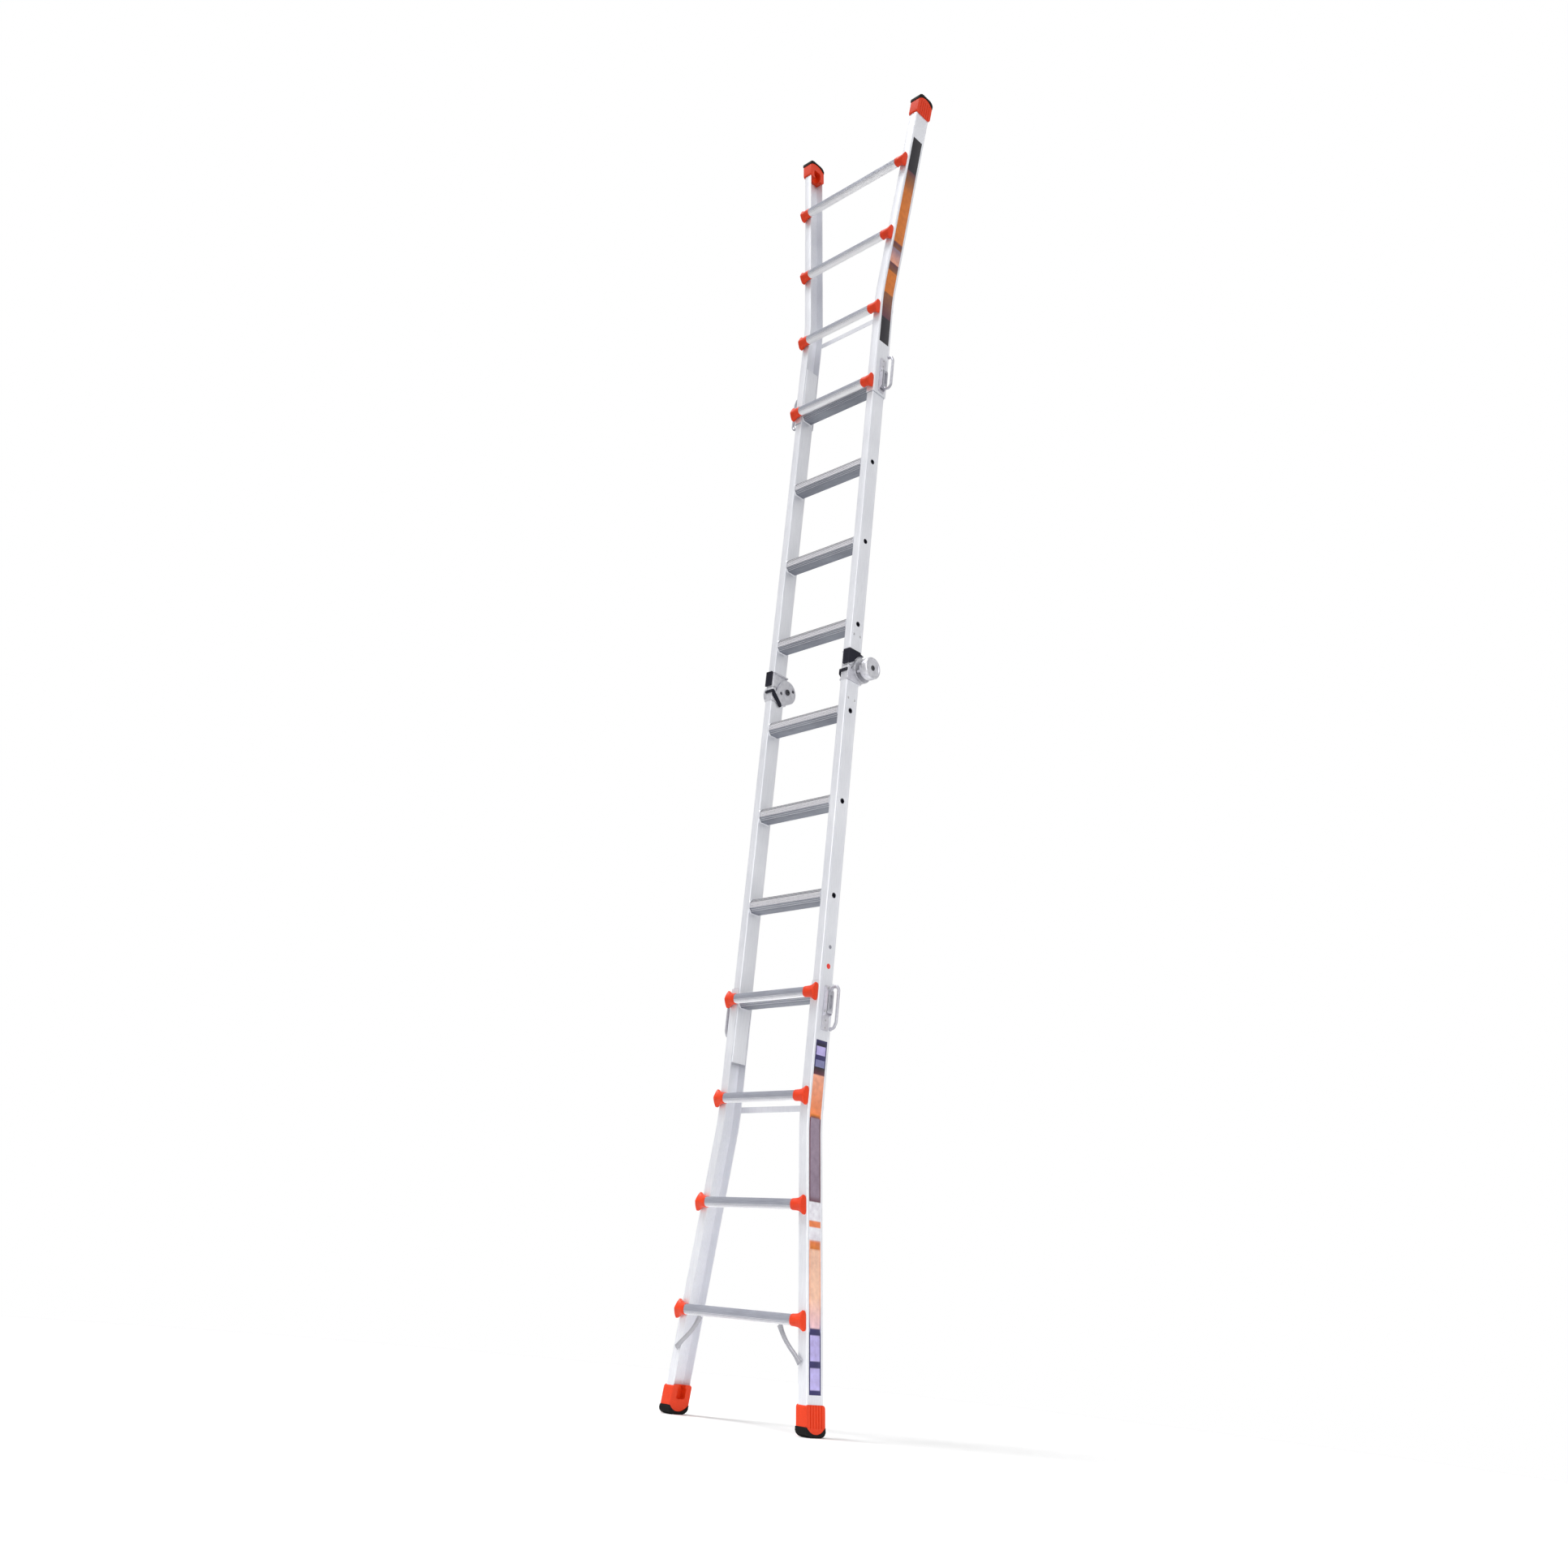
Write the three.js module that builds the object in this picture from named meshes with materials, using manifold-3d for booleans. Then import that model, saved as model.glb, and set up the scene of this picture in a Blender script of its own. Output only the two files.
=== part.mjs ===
// An articulated telescoping ladder, opened straight and fully extended, standing on its lower feet.
// It is two alike halves, mirrored about a pair of hinges at mid length; only the lower half has
// foot braces. Each half has an inner section, which carries the hinge, and a flared outer
// section that slides over it.
// Millimetres. Z runs up the ladder, X across it, and the climbing side faces -Y.
import * as THREE from "three";
import Module from "manifold-3d";
import { mergeVertices } from "three/addons/utils/BufferGeometryUtils.js";

// Spacing
const RUNG_PITCH = 304.8;
const FIRST_RUNG_Z = 288;
const HINGE_Z = FIRST_RUNG_Z + 6.5 * RUNG_PITCH;
const ROW_SHIFT_Y = -11;

// Inner rails: box tubes
const INNER_X0 = 154;
const INNER_X1 = 182;
const INNER_HALF_DEPTH = 30;
const INNER_WALL = 2;
const INNER_END_Z = 1010;
const HINGE_END_GAP = 52;

// Outer rails: channels open to the inside, which flare out towards the foot
const OUTER_X0 = 155;
const OUTER_X1 = 186;
const OUTER_HALF_DEPTH = 33.5;
const OUTER_WALL = 2.5;
const OUTER_END_Z = FIRST_RUNG_Z + 3 * RUNG_PITCH + 36;
const FLARE_START_Z = 831;
const FLARE_SLOPE = 0.1227;
const FLARE_BEND = 40;

// Rungs
const RUNG_Y = -46;
const RUNG_HALF_DEPTH = 14;
const RUNG_HALF_HEIGHT = 15;
const CAP_Y = -48;
const CAP_HALF_DEPTH = 14;
const CAP_HALF_HEIGHT = 27;
const HOLE_R = 7.5;

// Feet
const BOOT_TOP_Z = 80;
const OUTER_START_Z = 36;
const SOLE_X0 = 149;
const SOLE_X1 = 191.5;

// Hinge
const PIVOT_Y = 38;
const DISC_R = 41;
const PIN_CIRCLE_R = 30;
const PIN_ANGLE = (25 * Math.PI) / 180;
const STOP_ANGLE = (63 * Math.PI) / 180;
const COVER_R = 47.6;
const PALM_X = 219;

// Section locks
const LOCK_Y = 5;
const LOCK_Z = FIRST_RUNG_Z + 3 * RUNG_PITCH;
const LOCK_PIVOT_X = 196;
const LOCK_PIVOT_Z = LOCK_Z - 52;
const LOOP_X = 231;

const wasm = await Module();
wasm.setup();

const ALUMINIUM = { color: 0xd6d8dc, roughness: 0.35, metalness: 0.9 };
const RUNG_GREY = { color: 0x8d9096, roughness: 0.45, metalness: 0.8 };
const STEP_GREY = { color: 0x6d737c, roughness: 0.5, metalness: 0.7 };
const STEEL = { color: 0xb4b5b9, roughness: 0.35, metalness: 0.9 };
const ORANGE = { color: 0xf2481f, roughness: 0.5, metalness: 0 };
const BLACK_PLASTIC = { color: 0x1c1c22, roughness: 0.55, metalness: 0 };
const RUBBER = { color: 0x121212, roughness: 0.85, metalness: 0 };

function rungZ(level) {
  return FIRST_RUNG_Z + level * RUNG_PITCH;
}

// How far the outer rail has moved outboard at a height
function flare(z) {
  const below = FLARE_START_Z - z;
  if (below <= -FLARE_BEND) return 0;
  if (below >= FLARE_BEND) return FLARE_SLOPE * below;
  return (FLARE_SLOPE * (below + FLARE_BEND) ** 2) / (4 * FLARE_BEND);
}

function solid(geometry) {
  const bare = new THREE.BufferGeometry();
  const source = geometry.index ? geometry.toNonIndexed() : geometry;
  bare.setAttribute("position", source.getAttribute("position"));
  const merged = mergeVertices(bare, 1e-3);
  const mesh = new wasm.Mesh({
    numProp: 3,
    vertProperties: new Float32Array(merged.attributes.position.array),
    triVerts: new Uint32Array(merged.index.array),
  });
  return new wasm.Manifold(mesh);
}

function geometryOf(manifold) {
  const mesh = manifold.getMesh();
  const geometry = new THREE.BufferGeometry();
  const position = new THREE.BufferAttribute(new Float32Array(mesh.vertProperties), 3);
  geometry.setAttribute("position", position);
  geometry.setIndex(new THREE.BufferAttribute(new Uint32Array(mesh.triVerts), 1));
  const flat = geometry.toNonIndexed();
  flat.computeVertexNormals();
  return flat;
}

// A closed skin through rings of points that all run the same way round
function skin(rings) {
  const count = rings[0].length;
  const last = (rings.length - 1) * count;
  const index = [];
  for (let start = 0; start < last; start += count) {
    for (let i = 0; i < count; i += 1) {
      const [a, b] = [start + i, start + ((i + 1) % count)];
      index.push(a, b, b + count, a, b + count, a + count);
    }
  }
  const outline = flattened(rings[0]);
  const anticlockwise = THREE.ShapeUtils.area(outline) > 0;
  for (const [a, b, c] of THREE.ShapeUtils.triangulateShape(outline, [])) {
    const sameWay = THREE.ShapeUtils.area([outline[a], outline[b], outline[c]]) > 0 === anticlockwise;
    const [p, q, r] = sameWay ? [a, b, c] : [a, c, b];
    index.push(p, r, q, last + p, last + q, last + r);
  }
  const geometry = new THREE.BufferGeometry();
  geometry.setAttribute("position", new THREE.Float32BufferAttribute(rings.flat(2), 3));
  geometry.setIndex(index);
  return outward(geometry);
}

// A ring drawn in the plane it is nearest to, X-Y or Y-Z
function flattened(ring) {
  const third = Math.floor(ring.length / 3);
  const [p, q, r] = [ring[0], ring[third], ring[2 * third]].map((at) => new THREE.Vector3(...at));
  const normal = q.sub(p).cross(r.sub(p));
  const first = Math.abs(normal.x) > Math.abs(normal.z) ? 1 : 0;
  return ring.map((at) => new THREE.Vector2(at[first], at[first + 1]));
}

// Turns a closed geometry's faces round if they point inwards
function outward(geometry) {
  const flat = geometry.index ? geometry.toNonIndexed() : geometry;
  const at = flat.getAttribute("position");
  const [a, b, c] = [new THREE.Vector3(), new THREE.Vector3(), new THREE.Vector3()];
  let volume = 0;
  for (let i = 0; i < at.count; i += 3) {
    a.fromBufferAttribute(at, i);
    b.fromBufferAttribute(at, i + 1);
    c.fromBufferAttribute(at, i + 2);
    volume += a.dot(b.cross(c));
  }
  if (volume < 0) {
    for (let i = 0; i < at.count; i += 3) {
      b.fromBufferAttribute(at, i + 1);
      c.fromBufferAttribute(at, i + 2);
      at.setXYZ(i + 1, c.x, c.y, c.z);
      at.setXYZ(i + 2, b.x, b.y, b.z);
    }
  }
  flat.computeVertexNormals();
  return flat;
}

// A prism of a Y-Z outline between two X positions
function prismX(outline, x0, x1) {
  return skin([x0, x1].map((x) => outline.map(([y, z]) => [x, y, z])));
}

function boxOf(x0, x1, y0, y1, z0, z1) {
  const outline = [[y0, z0], [y1, z0], [y1, z1], [y0, z1]];
  return prismX(outline, x0, x1);
}

// A round bar along X
function rodX(radius, x0, x1, y, z, sides = 16) {
  const outline = [];
  for (let i = 0; i < sides; i += 1) {
    const angle = (2 * Math.PI * (i + 0.5)) / sides;
    outline.push([y + radius * Math.cos(angle), z + radius * Math.sin(angle)]);
  }
  return prismX(outline, x0, x1);
}

// A prism of an X-Z outline between two Y positions
function prismY(outline, y0, y1) {
  const lying = skin([y0, y1].map((y) => outline.map(([x, z]) => [x, z, y])));
  const swap = new THREE.Matrix4().set(1, 0, 0, 0, 0, 0, 1, 0, 0, 1, 0, 0, 0, 0, 0, 1);
  return outward(lying.applyMatrix4(swap));
}

// A round bar along Y
function rodY(radius, y0, y1, x, z, sides = 12) {
  const outline = [];
  for (let i = 0; i < sides; i += 1) {
    const angle = (2 * Math.PI * (i + 0.5)) / sides;
    outline.push([x + radius * Math.cos(angle), z + radius * Math.sin(angle)]);
  }
  return prismY(outline, y0, y1);
}

// Moves every point outboard with the flare of the rail
function followFlare(geometry) {
  const at = geometry.getAttribute("position");
  for (let i = 0; i < at.count; i += 1) {
    at.setX(i, at.getX(i) + flare(at.getZ(i)));
  }
  return geometry;
}

function outerRail() {
  const [x0, x1, d, w, c] = [OUTER_X0, OUTER_X1, OUTER_HALF_DEPTH, OUTER_WALL, 3];
  const channel = [
    [x0, -d], [x1 - c, -d], [x1, -d + c], [x1, d - c], [x1 - c, d],
    [x0, d], [x0, d - w], [x1 - w, d - w], [x1 - w, -d + w], [x0, -d + w],
  ];
  const bend = [-1, -0.67, -0.33, 0, 0.33, 0.67, 1].map((t) => FLARE_START_Z + t * FLARE_BEND);
  const stations = [OUTER_START_Z, ...bend, OUTER_END_Z];
  const rail = skin(stations.map((z) => channel.map(([x, y]) => [x + flare(z), y, z])));
  const pinHole = rodX(7, x1 - 10, x1 + 10, LOCK_Y, LOCK_Z);
  return geometryOf(solid(rail).subtract(solid(pinHole)));
}

// A tube rung, hollow from end to end, with its two flared end caps, in front of the outer rails
function outerRung(level) {
  const middle = rungZ(level);
  const reach = flare(middle);
  const half = [
    { x: 186.5, y: CAP_Y, a: CAP_HALF_DEPTH - 2, b: CAP_HALF_HEIGHT - 3, front: 1.6, back: 0.4 },
    { x: 184, y: CAP_Y, a: CAP_HALF_DEPTH, b: CAP_HALF_HEIGHT, front: 1.6, back: 0.4 },
    { x: 176, y: CAP_Y, a: CAP_HALF_DEPTH - 0.5, b: CAP_HALF_HEIGHT - 5, front: 1.5, back: 0.4 },
    { x: 167, y: CAP_Y, a: CAP_HALF_DEPTH - 1, b: RUNG_HALF_HEIGHT + 3, front: 1.2, back: 0.5 },
    { x: 154.4, y: CAP_Y + 0.2, a: CAP_HALF_DEPTH - 0.2, b: RUNG_HALF_HEIGHT + 1.5, front: 0.9, back: 0.7 },
    { x: 151, y: RUNG_Y, a: RUNG_HALF_DEPTH, b: RUNG_HALF_HEIGHT, front: 0.8, back: 0.8 },
  ];
  const ring = (station, side) => {
    const points = [];
    for (let i = 0; i < 16; i += 1) {
      const angle = (2 * Math.PI * i) / 16;
      const [cos, sin] = [Math.cos(angle), Math.sin(angle)];
      const power = cos < 0 ? station.front : station.back;
      const y = station.y + station.a * Math.sign(cos) * Math.abs(cos) ** power;
      const z = middle + station.b * Math.sign(sin) * Math.abs(sin) ** power;
      const lean = station.x > 152 ? flare(z) : reach;
      points.push([side * (station.x + lean), y, z]);
    }
    return points;
  };
  const left = half.map((station) => ring(station, -1));
  const right = half.map((station) => ring(station, 1)).reverse();
  const bore = [];
  for (let i = 0; i < 16; i += 1) {
    const angle = (2 * Math.PI * i) / 16;
    bore.push([RUNG_Y + 11.5 * Math.cos(angle), middle + 12.5 * Math.sin(angle)]);
  }
  const end = OUTER_X1 + reach + 10;
  return geometryOf(solid(skin([...left, ...right])).subtract(solid(prismX(bore, -end, end))));
}

function rearTie() {
  const z = rungZ(2) - 24;
  return boxOf(-184, 184, OUTER_HALF_DEPTH + 0.3, OUTER_HALF_DEPTH + 3.3, z - 9, z + 9);
}

// The plastic boot wraps the channel's foot, and its rounded lower edge carries the sole
function bootLine(y) {
  return 8 + 18 * Math.abs(y / 37.5) ** 2.2;
}

function boot() {
  const outline = [];
  for (let i = 0; i <= 8; i += 1) {
    const y = -37.5 + (i * 74.8) / 8;
    outline.push([y, bootLine(y)]);
  }
  outline.push([37.3, BOOT_TOP_Z - 4], [34.3, BOOT_TOP_Z], [-34.5, BOOT_TOP_Z], [-37.5, BOOT_TOP_Z - 4]);
  const body = prismX(outline, 150, 190.5);
  const gap = 0.4;
  const [x0, x1, d, w] = [OUTER_X0 - gap, OUTER_X1 + gap, OUTER_HALF_DEPTH + gap, OUTER_WALL + 2 * gap];
  const floor = OUTER_START_Z - 0.5;
  const socket = solid(boxOf(x0, x1, -d, d, floor, 100));
  const core = solid(boxOf(x0 - 5, x1 - w, -d + w, d - w, floor - 5, 105));
  const recess = solid(boxOf(140, 170, -19, 19, 40, 105));
  const cut = solid(body).subtract(socket.subtract(core)).subtract(recess);
  return followFlare(geometryOf(cut));
}

function sole() {
  const outline = [[-18, 0], [18, 0], [27, 2.5], [34, 7.5], [37.3, 13]];
  for (let i = 0; i <= 8; i += 1) {
    const y = 37.3 - (i * 74.8) / 8;
    outline.push([y, bootLine(y) - 0.4]);
  }
  outline.push([-39.2, 24], [-39.5, 15], [-36, 8.5], [-28, 2.5]);
  return followFlare(prismX(outline, SOLE_X0, SOLE_X1));
}

// The bowed brace from under the lowest rung to the front of the leg
function brace() {
  const top = FIRST_RUNG_Z - RUNG_HALF_HEIGHT - 0.4;
  const line = [
    [150, top, 168, top], [160, top - 18, 176, top - 9], [176, top - 40, 190, top - 28],
    [198, top - 62, 211, top - 48], [226, top - 84, 240, top - 66], [234, top - 96, 256, top - 92],
  ];
  const [y0, y1] = [-44, -34];
  const rings = line.map(([xa, za, xb, zb]) => [[xa, y0, za], [xb, y0, zb], [xb, y1, zb], [xa, y1, za]]);
  return skin(rings);
}

function innerRail() {
  const [x0, x1, d, w, c] = [INNER_X0, INNER_X1, INNER_HALF_DEPTH, INNER_WALL, 3];
  const top = HINGE_Z - HINGE_END_GAP;
  const tube = [
    [x0 + c, -d], [x1 - c, -d], [x1, -d + c], [x1, d - c],
    [x1 - c, d], [x0 + c, d], [x0, d - c], [x0, -d + c],
  ];
  const bore = [[x0 + w, -d + w], [x1 - w, -d + w], [x1 - w, d - w], [x0 + w, d - w]];
  let rail = solid(skin([INNER_END_Z, top].map((z) => tube.map(([x, y]) => [x, y, z]))));
  rail = rail.subtract(solid(skin([INNER_END_Z - 1, top + 1].map((z) => bore.map(([x, y]) => [x, y, z])))));
  for (let level = 3; level <= 6; level += 1) {
    rail = rail.subtract(solid(rodX(HOLE_R, x1 - 2 * w, x1 + w, 0, rungZ(level))));
  }
  return geometryOf(rail);
}

// A hollow extrusion between the inner rails, the same above and below, so it is a step either way up
function innerRung(level) {
  const z = rungZ(level);
  const eightSided = (depth, flat, height) => [
    [-depth, z - 8], [-flat, z - height], [flat, z - height], [depth, z - 8],
    [depth, z + 8], [flat, z + height], [-flat, z + height], [-depth, z + 8],
  ];
  const reach = INNER_X0 - 0.3;
  const body = solid(prismX(eightSided(27, 17, 22), -reach, reach));
  const bore = solid(prismX(eightSided(24.5, 16, 19.5), -reach - 5, reach + 5));
  return geometryOf(body.subtract(bore));
}

// One hinge half in outline: its disc, drawn out to the end of its rail
function armOutline(direction) {
  const outline = [[-0.6, -51.7], [-0.6, -DISC_R]];
  for (let i = 0; i <= 22; i += 1) {
    const angle = (2 * Math.PI * (271 + (i * 249) / 22)) / 360;
    outline.push([DISC_R * Math.cos(angle), DISC_R * Math.sin(angle)]);
  }
  outline.push([-68, -47.5], [-68, -51.7]);
  return outline.map(([y, z]) => [PIVOT_Y + y, HINGE_Z - direction * z]);
}

// The two lock pins stand opposite each other about the hinge bolt
function pinCentres() {
  const [y, z] = [PIN_CIRCLE_R * Math.cos(PIN_ANGLE), PIN_CIRCLE_R * Math.sin(PIN_ANGLE)];
  return [[PIVOT_Y + y, HINGE_Z + z], [PIVOT_Y - y, HINGE_Z - z]];
}

function hingeArm(direction, plates) {
  const outline = armOutline(direction);
  const span = (near, far) => [near, far].map((z) => HINGE_Z + direction * z).sort((a, b) => a - b);
  const block = boxOf(151, 185, PIVOT_Y - 68, PIVOT_Y - 0.6, ...span(47.2, 51.7));
  const tongue = boxOf(156.4, 179.6, -27.6, 27.6, ...span(51.5, 139));
  const riser = boxOf(153.5, 182.5, -INNER_HALF_DEPTH, -12, ...span(0.8, 48));
  let arm = solid(block).add(solid(tongue)).add(solid(riser));
  for (const [x0, x1] of plates) {
    arm = arm.add(solid(prismX(outline, x0, x1)));
  }
  arm = arm.subtract(solid(rodX(6.4, 140, 200, PIVOT_Y, HINGE_Z, 20)));
  if (direction > 0) {
    const stop = [DISC_R * Math.cos(STOP_ANGLE), DISC_R * Math.sin(STOP_ANGLE)];
    arm = arm.add(solid(rodX(5.8, ...plates[0], PIVOT_Y + stop[0], HINGE_Z + stop[1], 14)));
  }
  for (const [y, z] of pinCentres()) {
    arm = arm.subtract(solid(rodX(5.6, 140, 200, y, z, 12)));
  }
  return geometryOf(arm);
}

// A turned part about the hinge pin, from radius and X pairs
function turned(profile, segments) {
  const lathe = new THREE.LatheGeometry(profile.map(([r, x]) => new THREE.Vector2(r, x)), segments);
  lathe.rotateZ(-Math.PI / 2);
  lathe.translate(0, PIVOT_Y, HINGE_Z);
  return outward(lathe);
}

function pivotBolt() {
  const profile = [
    [0, 146.5], [10, 146.5], [11, 147.5], [11, 150.6], [6, 150.6], [6, PALM_X], [0, PALM_X],
  ];
  return geometryOf(solid(turned(profile, 20)));
}

function palmButton() {
  const profile = [
    [0, PALM_X + 8.6], [6.6, PALM_X + 8.6], [6.6, 200], [34, 200], [34, 205], [36.5, 208],
    [36.5, PALM_X + 8], [33, PALM_X + 11], [0, PALM_X + 11.6],
  ];
  let button = solid(turned(profile, 32));
  for (const [y, z] of pinCentres()) {
    button = button.add(solid(rodX(4.5, 187.5, 201, y, z, 12)));
  }
  return geometryOf(button);
}

// Moulded guards: one over the front and outer side of the upper arm, one under the lower arm
function upperCover() {
  const side = [[-33.5, 4], [-27, 4]];
  for (let i = 0; i <= 8; i += 1) {
    const angle = ((160 - 8 * i) * Math.PI) / 180;
    side.push([PIVOT_Y + COVER_R * Math.cos(angle), COVER_R * Math.sin(angle)]);
  }
  side.push([31, 56], [-33.5, 56]);
  const cheek = solid(prismX(side.map(([y, z]) => [y, HINGE_Z + z]), 185.3, 187.5));
  const front = solid(boxOf(160, 187.5, -33.5, -30.4, HINGE_Z + 4, HINGE_Z + 56));
  return geometryOf(cheek.add(front));
}

function lowerCover() {
  const lip = solid(boxOf(150, 184, -33, -30.4, HINGE_Z - 22, HINGE_Z - 12));
  const band = [[-33, -30], [8, -66], [16, -60], [14, -50], [-27, -12], [-33, -12]];
  const wing = solid(prismX(band.map(([y, z]) => [y, HINGE_Z + z]), 148.2, 150.6));
  return geometryOf(lip.add(wing));
}

function lockBracket() {
  const [z0, z1] = [LOCK_Z - 108, LOCK_Z + 26];
  let bracket = solid(boxOf(186.3, 189, -9, 19, z0, z1));
  const cheek = [[188, z0 + 42], [199, z0 + 48], [201, z0 + 56], [201, z1 - 14], [188, z1 - 4]];
  for (const [y0, y1] of [[-9, -6.4], [16.4, 19]]) {
    bracket = bracket.add(solid(prismY(cheek, y0, y1)));
  }
  bracket = bracket.add(solid(rodY(3, -8, 18, LOCK_PIVOT_X, LOCK_PIVOT_Z)));
  bracket = bracket.subtract(solid(rodX(6, 180, 195, LOCK_Y, LOCK_Z)));
  return geometryOf(bracket);
}

function lockLever() {
  const [px, pz] = [LOCK_PIVOT_X, LOCK_PIVOT_Z];
  const hub = [
    [px - 5.5, pz], [px - 4, pz - 4], [px, pz - 5.8], [px + 5, pz - 5], [px + 7, pz],
    [px + 7, pz + 62], [px + 3, pz + 66], [px - 5.5, pz + 66],
  ];
  let lever = solid(prismY(hub, LOCK_Y - 10.4, LOCK_Y + 10.4));
  lever = lever.subtract(solid(rodY(3.4, -20, 30, px, pz)));
  lever = lever.add(solid(rodX(4.5, 184.4, px, LOCK_Y, LOCK_Z, 12)));
  const path = [
    [px + 2, pz + 60], [px + 12, pz + 72], [LOOP_X - 8, pz + 76], [LOOP_X - 1, pz + 70],
    [LOOP_X, pz + 60], [LOOP_X, pz - 32], [LOOP_X - 4, pz - 46], [LOOP_X - 17, pz - 54],
  ].map(([x, z]) => new THREE.Vector3(x, LOCK_Y, z));
  const rod = path.map((at, i) => {
    const ahead = path[Math.min(i + 1, path.length - 1)];
    const behind = path[Math.max(i - 1, 0)];
    const along = ahead.clone().sub(behind).normalize();
    const across = new THREE.Vector3(along.z, 0, -along.x);
    const ring = [];
    for (let k = 0; k < 8; k += 1) {
      const angle = (2 * Math.PI * k) / 8;
      const step = across.clone().multiplyScalar(4 * Math.cos(angle));
      ring.push([at.x + step.x, at.y + 4 * Math.sin(angle), at.z + step.z]);
    }
    return ring;
  });
  return geometryOf(lever.add(solid(skin(rod))));
}

function mesh(name, geometry, finish) {
  const made = new THREE.Mesh(geometry, new THREE.MeshStandardMaterial(finish));
  made.name = name;
  return made;
}

// Left and right copies of one piece
function pair(group, name, geometry, finish) {
  for (const [side, sign] of [["left", -1], ["right", 1]]) {
    const made = mesh(`${name}_${side}`, geometry, finish);
    made.scale.x = sign;
    group.add(made);
  }
}

function halfLadder(half) {
  const group = new THREE.Group();
  pair(group, `${half}_outer_rail`, outerRail(), ALUMINIUM);
  pair(group, `${half}_inner_rail`, innerRail(), ALUMINIUM);
  for (let level = 0; level < 4; level += 1) {
    group.add(mesh(`${half}_outer_rung_${level + 1}`, outerRung(level), RUNG_GREY));
    group.add(mesh(`${half}_inner_rung_${level + 1}`, innerRung(level + 3), STEP_GREY));
  }
  group.add(mesh(`${half}_rear_tie`, rearTie(), ALUMINIUM));
  pair(group, `${half}_boot`, boot(), ORANGE);
  pair(group, `${half}_sole`, sole(), RUBBER);
  pair(group, `${half}_lock_bracket`, lockBracket(), STEEL);
  pair(group, `${half}_lock_lever`, lockLever(), STEEL);
  return group;
}

const lower = halfLadder("lower");
pair(lower, "lower_brace", brace(), ALUMINIUM);
const upper = halfLadder("upper");
upper.scale.z = -1;
upper.position.z = 2 * HINGE_Z;

const hinges = new THREE.Group();
pair(hinges, "hinge_lower_arm", hingeArm(-1, [[151, 157], [179, 185]]), STEEL);
pair(hinges, "hinge_upper_arm", hingeArm(1, [[157.5, 178.5]]), STEEL);
pair(hinges, "hinge_pivot_bolt", pivotBolt(), STEEL);
pair(hinges, "hinge_palm_button", palmButton(), STEEL);
pair(hinges, "hinge_upper_cover", upperCover(), BLACK_PLASTIC);
pair(hinges, "hinge_lower_cover", lowerCover(), BLACK_PLASTIC);

const ladder = new THREE.Group();
ladder.add(lower, upper, hinges);
ladder.position.y = ROW_SHIFT_Y;

export default ladder;
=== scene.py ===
import math

import bmesh
import bpy
from mathutils import Matrix, Vector


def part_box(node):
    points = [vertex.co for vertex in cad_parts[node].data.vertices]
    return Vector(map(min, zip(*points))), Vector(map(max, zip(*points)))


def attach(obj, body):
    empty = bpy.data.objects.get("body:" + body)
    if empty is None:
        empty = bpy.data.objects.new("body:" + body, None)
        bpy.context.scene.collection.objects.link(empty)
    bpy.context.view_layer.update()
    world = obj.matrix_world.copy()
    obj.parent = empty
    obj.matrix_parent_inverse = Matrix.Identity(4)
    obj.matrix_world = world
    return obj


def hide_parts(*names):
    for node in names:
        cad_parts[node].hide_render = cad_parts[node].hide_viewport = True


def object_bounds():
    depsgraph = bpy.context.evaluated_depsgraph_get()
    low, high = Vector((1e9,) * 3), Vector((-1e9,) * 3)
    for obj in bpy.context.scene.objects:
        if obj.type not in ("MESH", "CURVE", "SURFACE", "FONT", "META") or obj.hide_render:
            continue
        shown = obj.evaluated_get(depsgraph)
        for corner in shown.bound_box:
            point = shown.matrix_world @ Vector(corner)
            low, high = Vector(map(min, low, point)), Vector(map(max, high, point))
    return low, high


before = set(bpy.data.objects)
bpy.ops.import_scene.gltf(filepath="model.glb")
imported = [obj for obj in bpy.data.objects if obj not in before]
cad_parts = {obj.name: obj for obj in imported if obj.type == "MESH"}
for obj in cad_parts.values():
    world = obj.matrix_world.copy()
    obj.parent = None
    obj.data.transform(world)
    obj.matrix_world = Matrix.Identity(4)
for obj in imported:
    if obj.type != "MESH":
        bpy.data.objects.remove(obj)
cad_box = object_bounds()

# ---------------------------------------------------------------------------------------------
# Inner rails. Each is a drawn aluminium box section with two small grooves down its outer face,
# sawn off square, and drilled through its outer wall at every rung for the lock pin.
# ---------------------------------------------------------------------------------------------
MM = 0.001
SIDES = (("left", -1), ("right", 1))
HALVES = ("lower", "upper")
rail_middle = sum(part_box("lower_inner_rail_right"), Vector()) / 2
fold_height = (cad_box[0].z + cad_box[1].z) / 2 / MM
scene_collection = bpy.context.scene.collection


def measured(node):
    """A part's lowest and highest corners in millimetres, with Y from the middle of the rails."""
    shift = Vector((0, rail_middle.y, 0))
    return [(corner - shift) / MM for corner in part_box(node)]


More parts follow.
